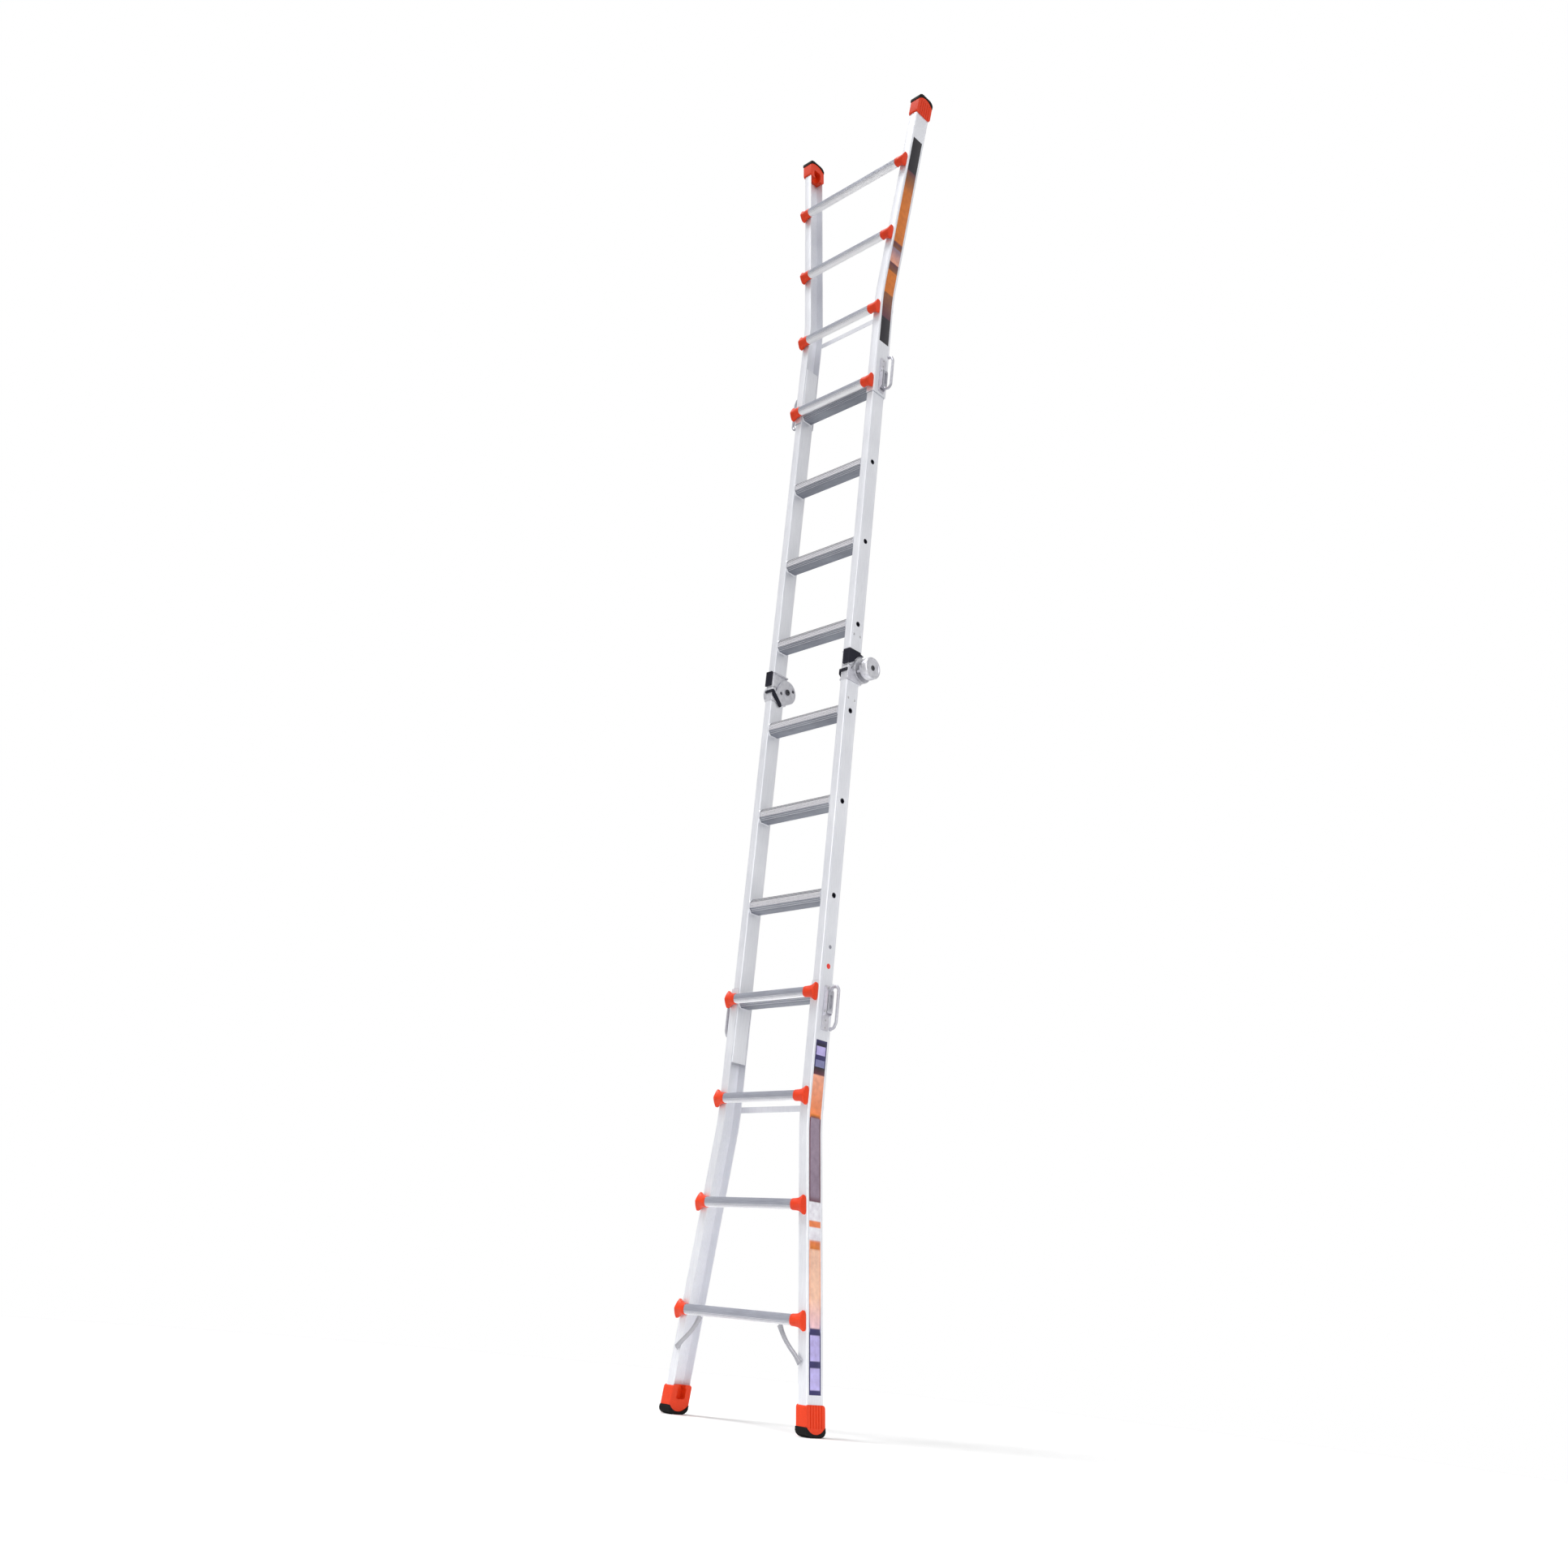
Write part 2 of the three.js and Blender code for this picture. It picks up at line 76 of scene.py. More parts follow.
def rounded(corners, steps=5):
    """An outline through corners (u, v, radius), each turned into an arc of that radius."""
    outline = []
    for i, (u, v, radius) in enumerate(corners):
        here = Vector((u, v))
        back = (Vector(corners[i - 1][:2]) - here).normalized()
        on = (Vector(corners[(i + 1) % len(corners)][:2]) - here).normalized()
        opening = back.angle(on)
        if radius == 0 or opening > math.pi - 0.01:
            outline.append((u, v))
            continue
        centre = here + (back + on).normalized() * radius / math.sin(opening / 2)
        start = here + back * radius / math.tan(opening / 2) - centre
        end = here + on * radius / math.tan(opening / 2) - centre
        first = math.atan2(start.y, start.x)
        turn = (math.atan2(end.y, end.x) - first + math.pi) % (2 * math.pi) - math.pi
        for k in range(steps + 1):
            angle = first + turn * k / steps
            outline.append((centre.x + radius * math.cos(angle), centre.y + radius * math.sin(angle)))
    return outline


def oblong(u0, v0, u1, v1, radius, steps=5):
    """The outline of a rectangle with its four corners rounded alike."""
    return rounded([(u0, v0, radius), (u1, v0, radius), (u1, v1, radius), (u0, v1, radius)], steps)


def circle(u, v, radius, steps):
    """The outline of a circle, or of a hexagon in six steps."""
    angles = [2 * math.pi * k / steps for k in range(steps)]
    return [(u + radius * math.cos(angle), v + radius * math.sin(angle)) for angle in angles]


def loft(rings, bore=None):
    """A closed shape through rings of points; with a bore's rings, a tube with open ends."""
    shape = bmesh.new()
    skins = [[[shape.verts.new(p) for p in ring] for ring in skin] for skin in (rings, bore) if skin]
    for skin in skins:
        for lower_ring, upper_ring in zip(skin, skin[1:]):
            for i in range(len(lower_ring)):
                j = (i + 1) % len(lower_ring)
                shape.faces.new((lower_ring[i], lower_ring[j], upper_ring[j], upper_ring[i]))
    for end in (0, -1):
        if bore is None:
            shape.faces.new(skins[0][end])
            continue
        outer, inner = skins[0][end], skins[1][end]
        for i in range(len(outer)):
            j = (i + 1) % len(outer)
            shape.faces.new((outer[i], outer[j], inner[j], inner[i]))
    bmesh.ops.recalc_face_normals(shape, faces=shape.faces)
    return shape


AXES = {
    "x": lambda u, v, along: (along, u, v),
    "y": lambda u, v, along: (u, along, v),
    "z": lambda u, v, along: (u, v, along),
}


def slab(outline, axis, near, far):
    """A flat outline given thickness along an axis."""
    return loft([[AXES[axis](u, v, along) for u, v in outline] for along in (near, far)])


def turned(profile, axis, u, v, steps=40, bore=None):
    """A round part from (radius, distance along the axis) pairs, or a sleeve if a bore has them too."""
    skins = [
        [[AXES[axis](p, q, along) for p, q in circle(u, v, radius, steps)] for radius, along in skin]
        for skin in (profile, bore) if skin
    ]
    return loft(*skins)


def together(*shapes):
    """Several shapes as one."""
    whole = bmesh.new()
    for shape in shapes:
        part = bpy.data.meshes.new("part")
        shape.to_mesh(part)
        whole.from_mesh(part)
        bpy.data.meshes.remove(part)
    return whole


def worked(operation, body, tools):
    """The body after each tool in turn has been taken from it or joined to it."""
    held = []
    for shape in (body, *tools):
        mesh = bpy.data.meshes.new("blank")
        shape.to_mesh(mesh)
        blank = bpy.data.objects.new("blank", mesh)
        scene_collection.objects.link(blank)
        held.append(blank)
    for tool in held[1:]:
        step = held[0].modifiers.new("cut", "BOOLEAN")
        step.operation = operation
        step.solver = "EXACT"
        step.object = tool
    graph = bpy.context.evaluated_depsgraph_get()
    done = bpy.data.meshes.new_from_object(held[0].evaluated_get(graph))
    result = bmesh.new()
    result.from_mesh(done)
    for blank in held:
        bpy.data.meshes.remove(blank.data)
    bpy.data.meshes.remove(done)
    return result


def cut(body, *tools):
    """The body with the tools cut away from it."""
    return worked("DIFFERENCE", body, tools)


CREASE = math.radians(32)


def place(name, shape, finish, body, nodes=(), side=1, half="lower", edge=0.0):
    """Makes a piece from a shape drawn for the lower right, and turns it to its side and half."""
    flip = -1 if half == "upper" else 1
    drop = 2 * fold_height if half == "upper" else 0
    turn = Matrix.Diagonal((side, 1, flip, 1))
    turn.translation = (0, 0, drop)
    to_row = Matrix.Translation((0, rail_middle.y, 0)) @ Matrix.Scale(MM, 4)
    copy = shape.copy()
    copy.transform(to_row @ turn)
    if side * flip < 0:
        bmesh.ops.reverse_faces(copy, faces=copy.faces)
    mesh = bpy.data.meshes.new(name)
    copy.to_mesh(mesh)
    copy.free()
    mesh.shade_smooth()
    mesh.set_sharp_from_angle(angle=CREASE)
    mesh.materials.append(finish)
    piece = bpy.data.objects.new(name, mesh)
    scene_collection.objects.link(piece)
    if edge:
        bevel = piece.modifiers.new("broken edges", "BEVEL")
        bevel.width = edge * MM
        bevel.segments = 2
        bevel.limit_method = "ANGLE"
        bevel.angle_limit = CREASE
        bevel.harden_normals = True
    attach(piece, body)
    if nodes:
        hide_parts(*nodes)
    return piece


def all_four(stem, shape, finish, section, node=None, edge=0.0):
    """The same piece at left and right in the lower and upper half."""
    for half in HALVES:
        for side_name, side in SIDES:
            nodes = [f"{half}_{node}_{side_name}"] if node else []
            place(
                f"{half}_{side_name}_{stem}", shape, finish, section(half, side_name),
                nodes, side, half, edge,
            )


def inner_section(half, side_name=None):
    """The body that the inner rails and all that is fixed to them ride on."""
    return f"{half}_inner_section"


def surface(name, light, dark, metallic, roughness, grain, stretch, bump, spread=0.06, specular=0.5):
    """A finish whose colour, roughness and relief vary with a grain stretched along the work."""
    finish = bpy.data.materials.new(name)
    finish.use_nodes = True
    nodes, links = finish.node_tree.nodes, finish.node_tree.links
    shader = nodes["Principled BSDF"]
    shader.inputs["Metallic"].default_value = metallic
    shader.inputs["Specular IOR Level"].default_value = specular
    where = nodes.new("ShaderNodeTexCoord")
    lines = nodes.new("ShaderNodeMapping")
    lines.inputs["Scale"].default_value = stretch
    fine = nodes.new("ShaderNodeTexNoise")
    fine.inputs["Scale"].default_value = grain
    fine.inputs["Detail"].default_value = 4
    broad = nodes.new("ShaderNodeTexNoise")
    broad.inputs["Scale"].default_value = 7
    broad.inputs["Detail"].default_value = 3
    both = nodes.new("ShaderNodeMix")
    both.inputs[0].default_value = 0.45
    colours = nodes.new("ShaderNodeValToRGB")
    colours.color_ramp.elements[0].position = 0.34
    colours.color_ramp.elements[0].color = (*dark, 1)
    colours.color_ramp.elements[1].position = 0.66
    colours.color_ramp.elements[1].color = (*light, 1)
    sheen = nodes.new("ShaderNodeMapRange")
    sheen.inputs["To Min"].default_value = roughness - spread
    sheen.inputs["To Max"].default_value = roughness + spread
    relief = nodes.new("ShaderNodeBump")
    relief.inputs["Strength"].default_value = bump
    relief.inputs["Distance"].default_value = 0.0003
    links.new(where.outputs["Object"], lines.inputs["Vector"])
    links.new(lines.outputs["Vector"], fine.inputs["Vector"])
    links.new(where.outputs["Object"], broad.inputs["Vector"])
    links.new(fine.outputs["Fac"], both.inputs[2])
    links.new(broad.outputs["Fac"], both.inputs[3])
    links.new(both.outputs[0], colours.inputs["Fac"])
    links.new(colours.outputs["Color"], shader.inputs["Base Color"])
    links.new(both.outputs[0], sheen.inputs["Value"])
    links.new(sheen.outputs["Result"], shader.inputs["Roughness"])
    links.new(fine.outputs["Fac"], relief.inputs["Height"])
    links.new(relief.outputs["Normal"], shader.inputs["Normal"])
    return finish


drawn_aluminium = surface(
    "drawn aluminium", light=(0.90, 0.91, 0.95), dark=(0.76, 0.77, 0.82), metallic=0.5,
    roughness=0.4, grain=60, stretch=(14, 14, 0.35), bump=0.25,
)

inner_low, inner_high = measured("lower_inner_rail_right")
rung_levels = [sum(measured(f"lower_inner_rung_{k}"), Vector()).z / 2 for k in (1, 2, 3, 4)]
WALL = 2
OUTSIDE_CORNER = 4
INSIDE_CORNER = 2.2
GROOVE = 0.6
GROOVE_HALF_WIDTH = 0.8
GROOVE_Y = 21
PIN_HOLE_RADIUS = 7.5


def box_section(x0, x1, depth, radius):
    """The outline of a rail from x0 to x1, as far in front of its middle as behind."""
    return oblong(x0, -depth, x1, depth, radius, steps=6)


outside = box_section(inner_low.x, inner_high.x, inner_high.y, OUTSIDE_CORNER)
inside = box_section(inner_low.x + WALL, inner_high.x - WALL, inner_high.y - WALL, INSIDE_CORNER)
ends = (inner_low.z, inner_high.z)
inner_tube = loft(
    [[(x, y, z) for x, y in outside] for z in ends],
    [[(x, y, z) for x, y in inside] for z in ends],
)
lines = [
    slab(oblong(inner_high.x - GROOVE, y - GROOVE_HALF_WIDTH, inner_high.x + 1, y + GROOVE_HALF_WIDTH, 0),
         "z", inner_low.z - 1, inner_high.z + 1)
    for y in (-GROOVE_Y, GROOVE_Y)
]
drillings = [
    turned([(PIN_HOLE_RADIUS, inner_high.x - 6), (PIN_HOLE_RADIUS, inner_high.x + 3)], "x", 0, z)
    for z in rung_levels
]
inner_rail = cut(inner_tube, together(*lines), together(*drillings))
all_four("inner_rail", inner_rail, drawn_aluminium, inner_section, "inner_rail", 0.3)

# The dark lining of each drilled hole: a black plastic bush pressed in up to its small lip.
moulded_black = surface(
    "moulded black plastic", light=(0.014, 0.014, 0.026), dark=(0.007, 0.007, 0.016), metallic=0,
    roughness=0.55, grain=500, stretch=(1, 1, 1), bump=0.5, specular=0.2,
)
wall = inner_high.x
bush_outside = [(7.3, wall - 5), (7.3, wall), (8.6, wall + 0.4), (8.2, wall + 0.7)]
bush_inside = [(6.4, wall - 5), (6.4, wall - 4), (6.4, wall), (6.8, wall + 0.7)]
bushes = together(*[turned(bush_outside, "x", 0, z, 32, bush_inside) for z in rung_levels])
all_four("pin_hole_bushes", bushes, moulded_black, inner_section)

# Two plain round stickers on the outer face of the lower right rail, a little above its lock.
STICKER_Y = 4
sticker_red = surface(
    "red vinyl sticker", light=(0.80, 0.05, 0.03), dark=(0.68, 0.03, 0.02), metallic=0,
    roughness=0.4, grain=300, stretch=(1, 1, 1), bump=0.1,
)
sticker_grey = surface(
    "grey vinyl sticker", light=(0.30, 0.30, 0.34), dark=(0.22, 0.22, 0.26), metallic=0,
    roughness=0.4, grain=300, stretch=(1, 1, 1), bump=0.1,
)
for name, z, radius, finish in (
    ("red_sticker", 1288, 8, sticker_red),
    ("grey_sticker", 1347, 6, sticker_grey),
):
    disc = [(radius, wall + 0.02), (radius, wall + 0.2), (radius - 0.4, wall + 0.3)]
    place(name, turned(disc, "x", STICKER_Y, z), finish, inner_section("lower"))

# ---------------------------------------------------------------------------------------------
# Inner rungs. Hollow eight-sided aluminium extrusions with fine grip ribs on the two treads,
# pushed through the inner walls of the rails and swaged over into a collar at each end.
# ---------------------------------------------------------------------------------------------
def paint_light_by_facing(finish, axis, start, full, colour, both_ways=False):
    """Paints light or shade by which way a face points: faces that point along an axis, or both ways
    along it, take another colour.
    """
    nodes, links = finish.node_tree.nodes, finish.node_tree.links
    split = nodes.new("ShaderNodeSeparateXYZ")
    links.new(nodes["Texture Coordinate"].outputs["Normal"], split.inputs["Vector"])
    pointing = split.outputs[axis]
    if both_ways:
        unsigned = nodes.new("ShaderNodeMath")
        unsigned.operation = "ABSOLUTE"
        links.new(pointing, unsigned.inputs[0])
        pointing = unsigned.outputs[0]
    amount = nodes.new("ShaderNodeMapRange")
    amount.inputs["From Min"].default_value = start
    amount.inputs["From Max"].default_value = full
    links.new(pointing, amount.inputs["Value"])
    choose = nodes.new("ShaderNodeMix")
    choose.data_type = "RGBA"
    choose.inputs[7].default_value = (*colour, 1)
    links.new(amount.outputs["Result"], choose.inputs[0])
    links.new(nodes["Color Ramp"].outputs["Color"], choose.inputs[6])
    links.new(choose.outputs[2], nodes["Principled BSDF"].inputs["Base Color"])
    return split, choose


# Painted shade: the step's base tone is kept far darker than the rails' aluminium, standing in for the
# shade on the rungs.
ribbed_step = surface(
    "ribbed step aluminium", light=(0.33, 0.35, 0.40), dark=(0.19, 0.20, 0.24), metallic=0.5,
    roughness=0.4, grain=70, stretch=(0.35, 12, 12), bump=0.3,
)
# Painted reflection: the faces that look straight forward or back are painted bright, as if catching the
# white studio.
split, choose = paint_light_by_facing(ribbed_step, "Y", 0.86, 0.94, (0.88, 0.86, 0.90), both_ways=True)

# Painted shade on the treads: the more a face looks up, the darker its colour is painted.
nodes, links = ribbed_step.node_tree.nodes, ribbed_step.node_tree.links
shade = nodes.new("ShaderNodeMapRange")
shade.inputs["From Min"].default_value = 0.25
shade.inputs["From Max"].default_value = 0.45
shade.inputs["To Min"].default_value = 1
shade.inputs["To Max"].default_value = 0.35
links.new(split.outputs["Z"], shade.inputs["Value"])
painted_tread_shade = nodes.new("ShaderNodeMix")
painted_tread_shade.data_type = "RGBA"
painted_tread_shade.blend_type = "MULTIPLY"
painted_tread_shade.inputs[0].default_value = 1
links.new(choose.outputs[2], painted_tread_shade.inputs[6])
links.new(shade.outputs["Result"], painted_tread_shade.inputs[7])
links.new(painted_tread_shade.outputs[2], nodes["Principled BSDF"].inputs["Base Color"])

step_low, step_high = measured("lower_inner_rung_1")
STEP_HALF_HEIGHT = (step_high.z - step_low.z) / 2
STEP_HALF_DEPTH = step_high.y
TREAD_HALF = 17
FRONT_HALF = 8
RIB_DEPTH = 0.7
BORE_DEPTH_SHARE = 0.91
BORE_HEIGHT_SHARE = 0.88


def ribs(u0, v0, u1, v1, count, depth):
    """Points of a ribbed straight face from one point to another, cut in by the depth."""
    along = Vector((u1 - u0, v1 - v0))
    inward = Vector((-along.y, along.x)).normalized() * depth
    points = []
    for k in range(count):
        for part, sunk in ((0.15, 0), (0.5, 0), (0.65, 1), (1.0, 1)):
            at = Vector((u0, v0)) + along * (k + part) / count + inward * sunk
            points.append((at.x, at.y))
    return points


def step_section(d, f, h, face_ribs, tread_ribs):
    """The step's eight-sided outline: d half its depth, f half its tread, h half its height."""
    corners = [(-f, -h), (f, -h), (d, -FRONT_HALF), (d, FRONT_HALF), (f, h), (-f, h),
               (-d, FRONT_HALF), (-d, -FRONT_HALF)]
    outline = []
    for i, (u, v) in enumerate(corners):
        nu, nv = corners[(i + 1) % 8]
        count = tread_ribs if i in (0, 4) else face_ribs
        outline.append((u, v))
        outline += ribs(u, v, nu, nv, count, RIB_DEPTH)
    return outline


section = step_section(STEP_HALF_DEPTH, TREAD_HALF, STEP_HALF_HEIGHT, face_ribs=3, tread_ribs=9)
bore_section = [(y * BORE_DEPTH_SHARE, up * BORE_HEIGHT_SHARE) for y, up in section]
for half in HALVES:
    for k, z in enumerate(rung_levels, start=1):
        step = loft(*[
            [[(x, y, z + up) for y, up in skin] for x in (step_low.x, step_high.x)]
            for skin in (section, bore_section)
        ])
        place(f"{half}_step_{k}", step, ribbed_step,
              inner_section(half), [f"{half}_inner_rung_{k}"], half=half)

swaged = rounded([(-30, -11, 2), (-19, -24.5, 3), (19, -24.5, 3), (30, -11, 2), (30, 11, 2),
                  (19, 24.5, 3), (-19, 24.5, 3), (-30, 11, 2)], steps=3)
MOUTH_SHARE = 0.905
swaged_mouth = [(y * MOUTH_SHARE, up * MOUTH_SHARE) for y, up in swaged]
swage_stations = ((inner_low.x - 0.1, 1.0), (inner_low.x - 1.6, 0.985), (inner_low.x - 2.6, 0.95))
collars = together(*[
    loft(
        [[(x, y * s, z + up * s) for y, up in swaged] for x, s in swage_stations],
        [[(x, y, z + up) for y, up in swaged_mouth] for x, s in swage_stations],
    )
    for z in rung_levels
])
all_four("swaged_collars", collars, drawn_aluminium, inner_section)

# ---------------------------------------------------------------------------------------------
# Outer rails. Drawn aluminium channels that open inwards and slide over the inner rails, bent
# out to a wide foot, with a raised bead down each edge of the outer face.
# ---------------------------------------------------------------------------------------------
outer_low, outer_high = measured("lower_outer_rail_right")
CHANNEL_WALL = 2.5
CHANNEL_X1 = 186
FLARE_START = 831
FLARE_SLOPE = 0.1227
FLARE_BEND = 40
BEAD = 0.5


def outer_section(half, side_name=None):
    """The body that the outer rails and all that is fixed to them ride on."""
    return f"{half}_outer_section"


def flare(z):
    """How far the outer rail has moved outwards at a height."""
    below = FLARE_START - z
    if below <= -FLARE_BEND:
        return 0
    if below >= FLARE_BEND:
        return FLARE_SLOPE * below
    return FLARE_SLOPE * (below + FLARE_BEND) ** 2 / (4 * FLARE_BEND)


def flared(shape):
    """The shape leaning out with the rail, point by point."""
    for point in shape.verts:
        point.co.x += flare(point.co.z)
    return shape


def heights(low, high, bend_steps=14):
    """Heights to lay rings at: the ends, and close together round the bend."""
    bend = [FLARE_START + FLARE_BEND * (2 * k / bend_steps - 1) for k in range(bend_steps + 1)]
    return sorted([low, high] + [z for z in bend if low < z < high])


deep = outer_high.y
shallow = deep - CHANNEL_WALL
web = CHANNEL_X1
bead = CHANNEL_X1 + BEAD
channel = rounded([
    (outer_low.x, -deep, 0.5), (web, -deep, 3),
    (web, -28.5, 0), (bead, -28, 0.2), (bead, -26.4, 0.2), (web, -25.9, 0),
    (web, 25.9, 0), (bead, 26.4, 0.2), (bead, 28, 0.2), (web, 28.5, 0),
    (web, deep, 3), (outer_low.x, deep, 0.5),
    (outer_low.x, shallow, 0.5), (web - CHANNEL_WALL, shallow, 1.2),
    (web - CHANNEL_WALL, -shallow, 1.2), (outer_low.x, -shallow, 0.5),
], steps=4)
outer_rail = loft([[(x, y, z) for x, y in channel] for z in heights(outer_low.z, outer_high.z)])
LOCK_Y = 5
LOCK_Z = rung_levels[0]
LOCK_HOLE_RADIUS = 7
lock_hole = turned([(LOCK_HOLE_RADIUS, web - 8), (LOCK_HOLE_RADIUS, web + 4)], "x", LOCK_Y, LOCK_Z, 28)
outer_rail = cut(flared(outer_rail), lock_hole)
all_four("outer_rail", outer_rail, drawn_aluminium, outer_section, "outer_rail")

# Grey plastic glides riveted in the mouth of each outer rail, which keep metal off metal.
glide_grey = surface(
    "grey nylon", light=(0.42, 0.42, 0.45), dark=(0.34, 0.34, 0.37), metallic=0,
    roughness=0.5, grain=300, stretch=(1, 1, 1), bump=0.2,
)
glide = slab(oblong(30.2, outer_high.z - 46, 33.3, outer_high.z + 0.9, 0.3), "x", 158, 178)
glide_front = glide.copy()
for point in glide_front.verts:
    point.co.y = -point.co.y
bmesh.ops.reverse_faces(glide_front, faces=glide_front.faces)
all_four("rail_glides", together(glide, glide_front), glide_grey, outer_section)

# ---------------------------------------------------------------------------------------------
# Printed bands. A strip of printed vinyl down the outer face of each right outer rail, in plain
# blocks of colour: framed panels, stripes and fades.
# ---------------------------------------------------------------------------------------------
BAND_HALF = 23.5
BAND_MARGIN = 3.2
BAND_THICKNESS = 0.16
BAND_FEET, BAND_HEAD, BAND_TOP = 104, 985, 1064
UPPER_BAND_FEET, UPPER_BAND_TOP = 181, 1029
STOP_BLEND = 0.8
NAVY = (0.035, 0.03, 0.13)
BLACK = (0.015, 0.013, 0.02)
LAVENDER = (0.55, 0.50, 0.88)
STEEL_BLUE = (0.22, 0.23, 0.42)
ORANGE = (0.90, 0.25, 0.08)
DEEP_ORANGE = (0.72, 0.20, 0.02)
SALMON = (0.93, 0.42, 0.27)
PALE_ORANGE = (0.96, 0.60, 0.42)
PINK = (0.94, 0.62, 0.66)
MAUVE = (0.30, 0.23, 0.30)
MAROON = (0.13, 0.035, 0.055)
BROWN = (0.27, 0.10, 0.035)
WHITE = (0.86, 0.86, 0.90)


def printed(name, stops, frame_stops, foot, head):
    """Vinyl whose colour steps with height, with another set of steps for its two margins."""
    finish = surface(
        name, light=(1, 1, 1), dark=(0.70, 0.66, 0.70), metallic=0,
        roughness=0.32, grain=60, stretch=(1, 1, 1), bump=0.12,
    )
    nodes, links = finish.node_tree.nodes, finish.node_tree.links
    shader = nodes["Principled BSDF"]
    where = nodes["Texture Coordinate"]
    split = nodes.new("ShaderNodeSeparateXYZ")
    links.new(where.outputs["Object"], split.inputs["Vector"])
    height = nodes.new("ShaderNodeMapRange")
    height.inputs["From Min"].default_value = foot * MM
    height.inputs["From Max"].default_value = head * MM
    links.new(split.outputs["Z"], height.inputs["Value"])
    ramps = []
    for blocks in (stops, frame_stops):
        ramp = nodes.new("ShaderNodeValToRGB")
        elements = ramp.color_ramp.elements
        while len(elements) > 1:
            elements.remove(elements[0])
        first = True
        for z0, z1, low_colour, high_colour in blocks:
            for z, colour in ((z0 + STOP_BLEND, low_colour), (z1 - STOP_BLEND, high_colour)):
                at = (z - foot) / (head - foot)
                stop = elements[0] if first else elements.new(at)
                stop.position = at
                stop.color = (*colour, 1)
                first = False
        links.new(height.outputs["Result"], ramp.inputs["Fac"])
        ramps.append(ramp)
    off_centre = nodes.new("ShaderNodeMath")
    off_centre.operation = "SUBTRACT"
    off_centre.inputs[1].default_value = rail_middle.y
    links.new(split.outputs["Y"], off_centre.inputs[0])
    reach = nodes.new("ShaderNodeMath")
    reach.operation = "ABSOLUTE"
    links.new(off_centre.outputs[0], reach.inputs[0])
    margin = nodes.new("ShaderNodeMapRange")
    margin.inputs["From Min"].default_value = (BAND_HALF - BAND_MARGIN - 2) * MM
    margin.inputs["From Max"].default_value = (BAND_HALF - BAND_MARGIN) * MM
    links.new(reach.outputs[0], margin.inputs["Value"])
    choose = nodes.new("ShaderNodeMix")
    choose.data_type = "RGBA"
    links.new(margin.outputs["Result"], choose.inputs[0])
    links.new(ramps[0].outputs["Color"], choose.inputs[6])
    links.new(ramps[1].outputs["Color"], choose.inputs[7])
    worn = nodes.new("ShaderNodeMix")
    worn.data_type = "RGBA"
    worn.blend_type = "MULTIPLY"
    worn.inputs[0].default_value = 1
    links.new(choose.outputs[2], worn.inputs[6])
    links.new(nodes["Color Ramp"].outputs["Color"], worn.inputs[7])
    links.new(worn.outputs[2], shader.inputs["Base Color"])
    return finish


lower_colours = [
    (104, 116, NAVY, NAVY), (116, 172, LAVENDER, LAVENDER), (172, 188, NAVY, NAVY),
    (188, 254, LAVENDER, LAVENDER), (254, 272, NAVY, NAVY), (272, 352, PINK, PALE_ORANGE),
    (352, 476, PALE_ORANGE, PALE_ORANGE), (476, 500, DEEP_ORANGE, ORANGE), (500, 536, WHITE, WHITE),
    (536, 553, ORANGE, ORANGE), (553, 604, WHITE, WHITE), (604, 622, MAROON, MAUVE),
    (622, 838, MAUVE, MAUVE), (838, 848, MAROON, DEEP_ORANGE), (848, 962, ORANGE, SALMON),
    (962, 985, MAROON, BLACK),
]
lower_margins = [
    (104, 262, NAVY, NAVY), (262, 340, STEEL_BLUE, SALMON), (340, 500, SALMON, SALMON),
    (500, 536, WHITE, WHITE), (536, 553, ORANGE, ORANGE), (553, 604, WHITE, WHITE),
    (604, 838, MAROON, MAROON), (838, 962, ORANGE, SALMON), (962, 985, MAROON, BLACK),
]
head_colours = [
    (985, 1006, STEEL_BLUE, STEEL_BLUE), (1006, 1020, NAVY, NAVY), (1020, 1046, LAVENDER, LAVENDER),
    (1046, 1064, BLACK, NAVY),
]
head_margins = [(985, 1064, NAVY, NAVY)]
band_finish = printed("printed band lower", lower_colours, lower_margins, BAND_FEET, BAND_HEAD)
head_finish = printed("printed band head", head_colours, head_margins, BAND_HEAD, BAND_TOP)
upper_blocks = [
    (181, 318, BLACK, BLACK), (318, 345, MAROON, BROWN), (345, 412, BROWN, DEEP_ORANGE),
    (412, 615, DEEP_ORANGE, DEEP_ORANGE), (615, 640, MAROON, BROWN), (640, 700, MAUVE, SALMON),
    (700, 732, MAROON, BROWN), (732, 821, DEEP_ORANGE, DEEP_ORANGE), (821, 924, BROWN, MAROON),
    (924, 1029, BLACK, BLACK),
]
ladder_top = 2 * fold_height
upper_colours = [(ladder_top - z1, ladder_top - z0, b, a) for z0, z1, a, b in reversed(upper_blocks)]
upper_finish = printed(
    "printed band upper", upper_colours, upper_colours,
    ladder_top - UPPER_BAND_TOP, ladder_top - UPPER_BAND_FEET,
)


def vinyl(low, high):
    """The strip between two heights, laid on the rail and leaning out with it."""
    under = CHANNEL_X1 + 0.04
    over = under + BAND_THICKNESS
    outline = rounded([(under, -BAND_HALF, 0), (over, -BAND_HALF, 0.06),
                       (over, BAND_HALF, 0.06), (under, BAND_HALF, 0)], steps=2)
    rings = []
    for z in heights(low, high):
        rings.append([(x, y, z) for x, y in outline])
    return flared(loft(rings))


for name, low, high, finish, half in (
    ("lower_printed_band", BAND_FEET, BAND_HEAD, band_finish, "lower"),
    ("lower_printed_band_head", BAND_HEAD, BAND_TOP, head_finish, "lower"),
    ("upper_printed_band", UPPER_BAND_FEET, UPPER_BAND_TOP, upper_finish, "upper"),
):
    place(name, vinyl(low, high), finish, outer_section(half), half=half)
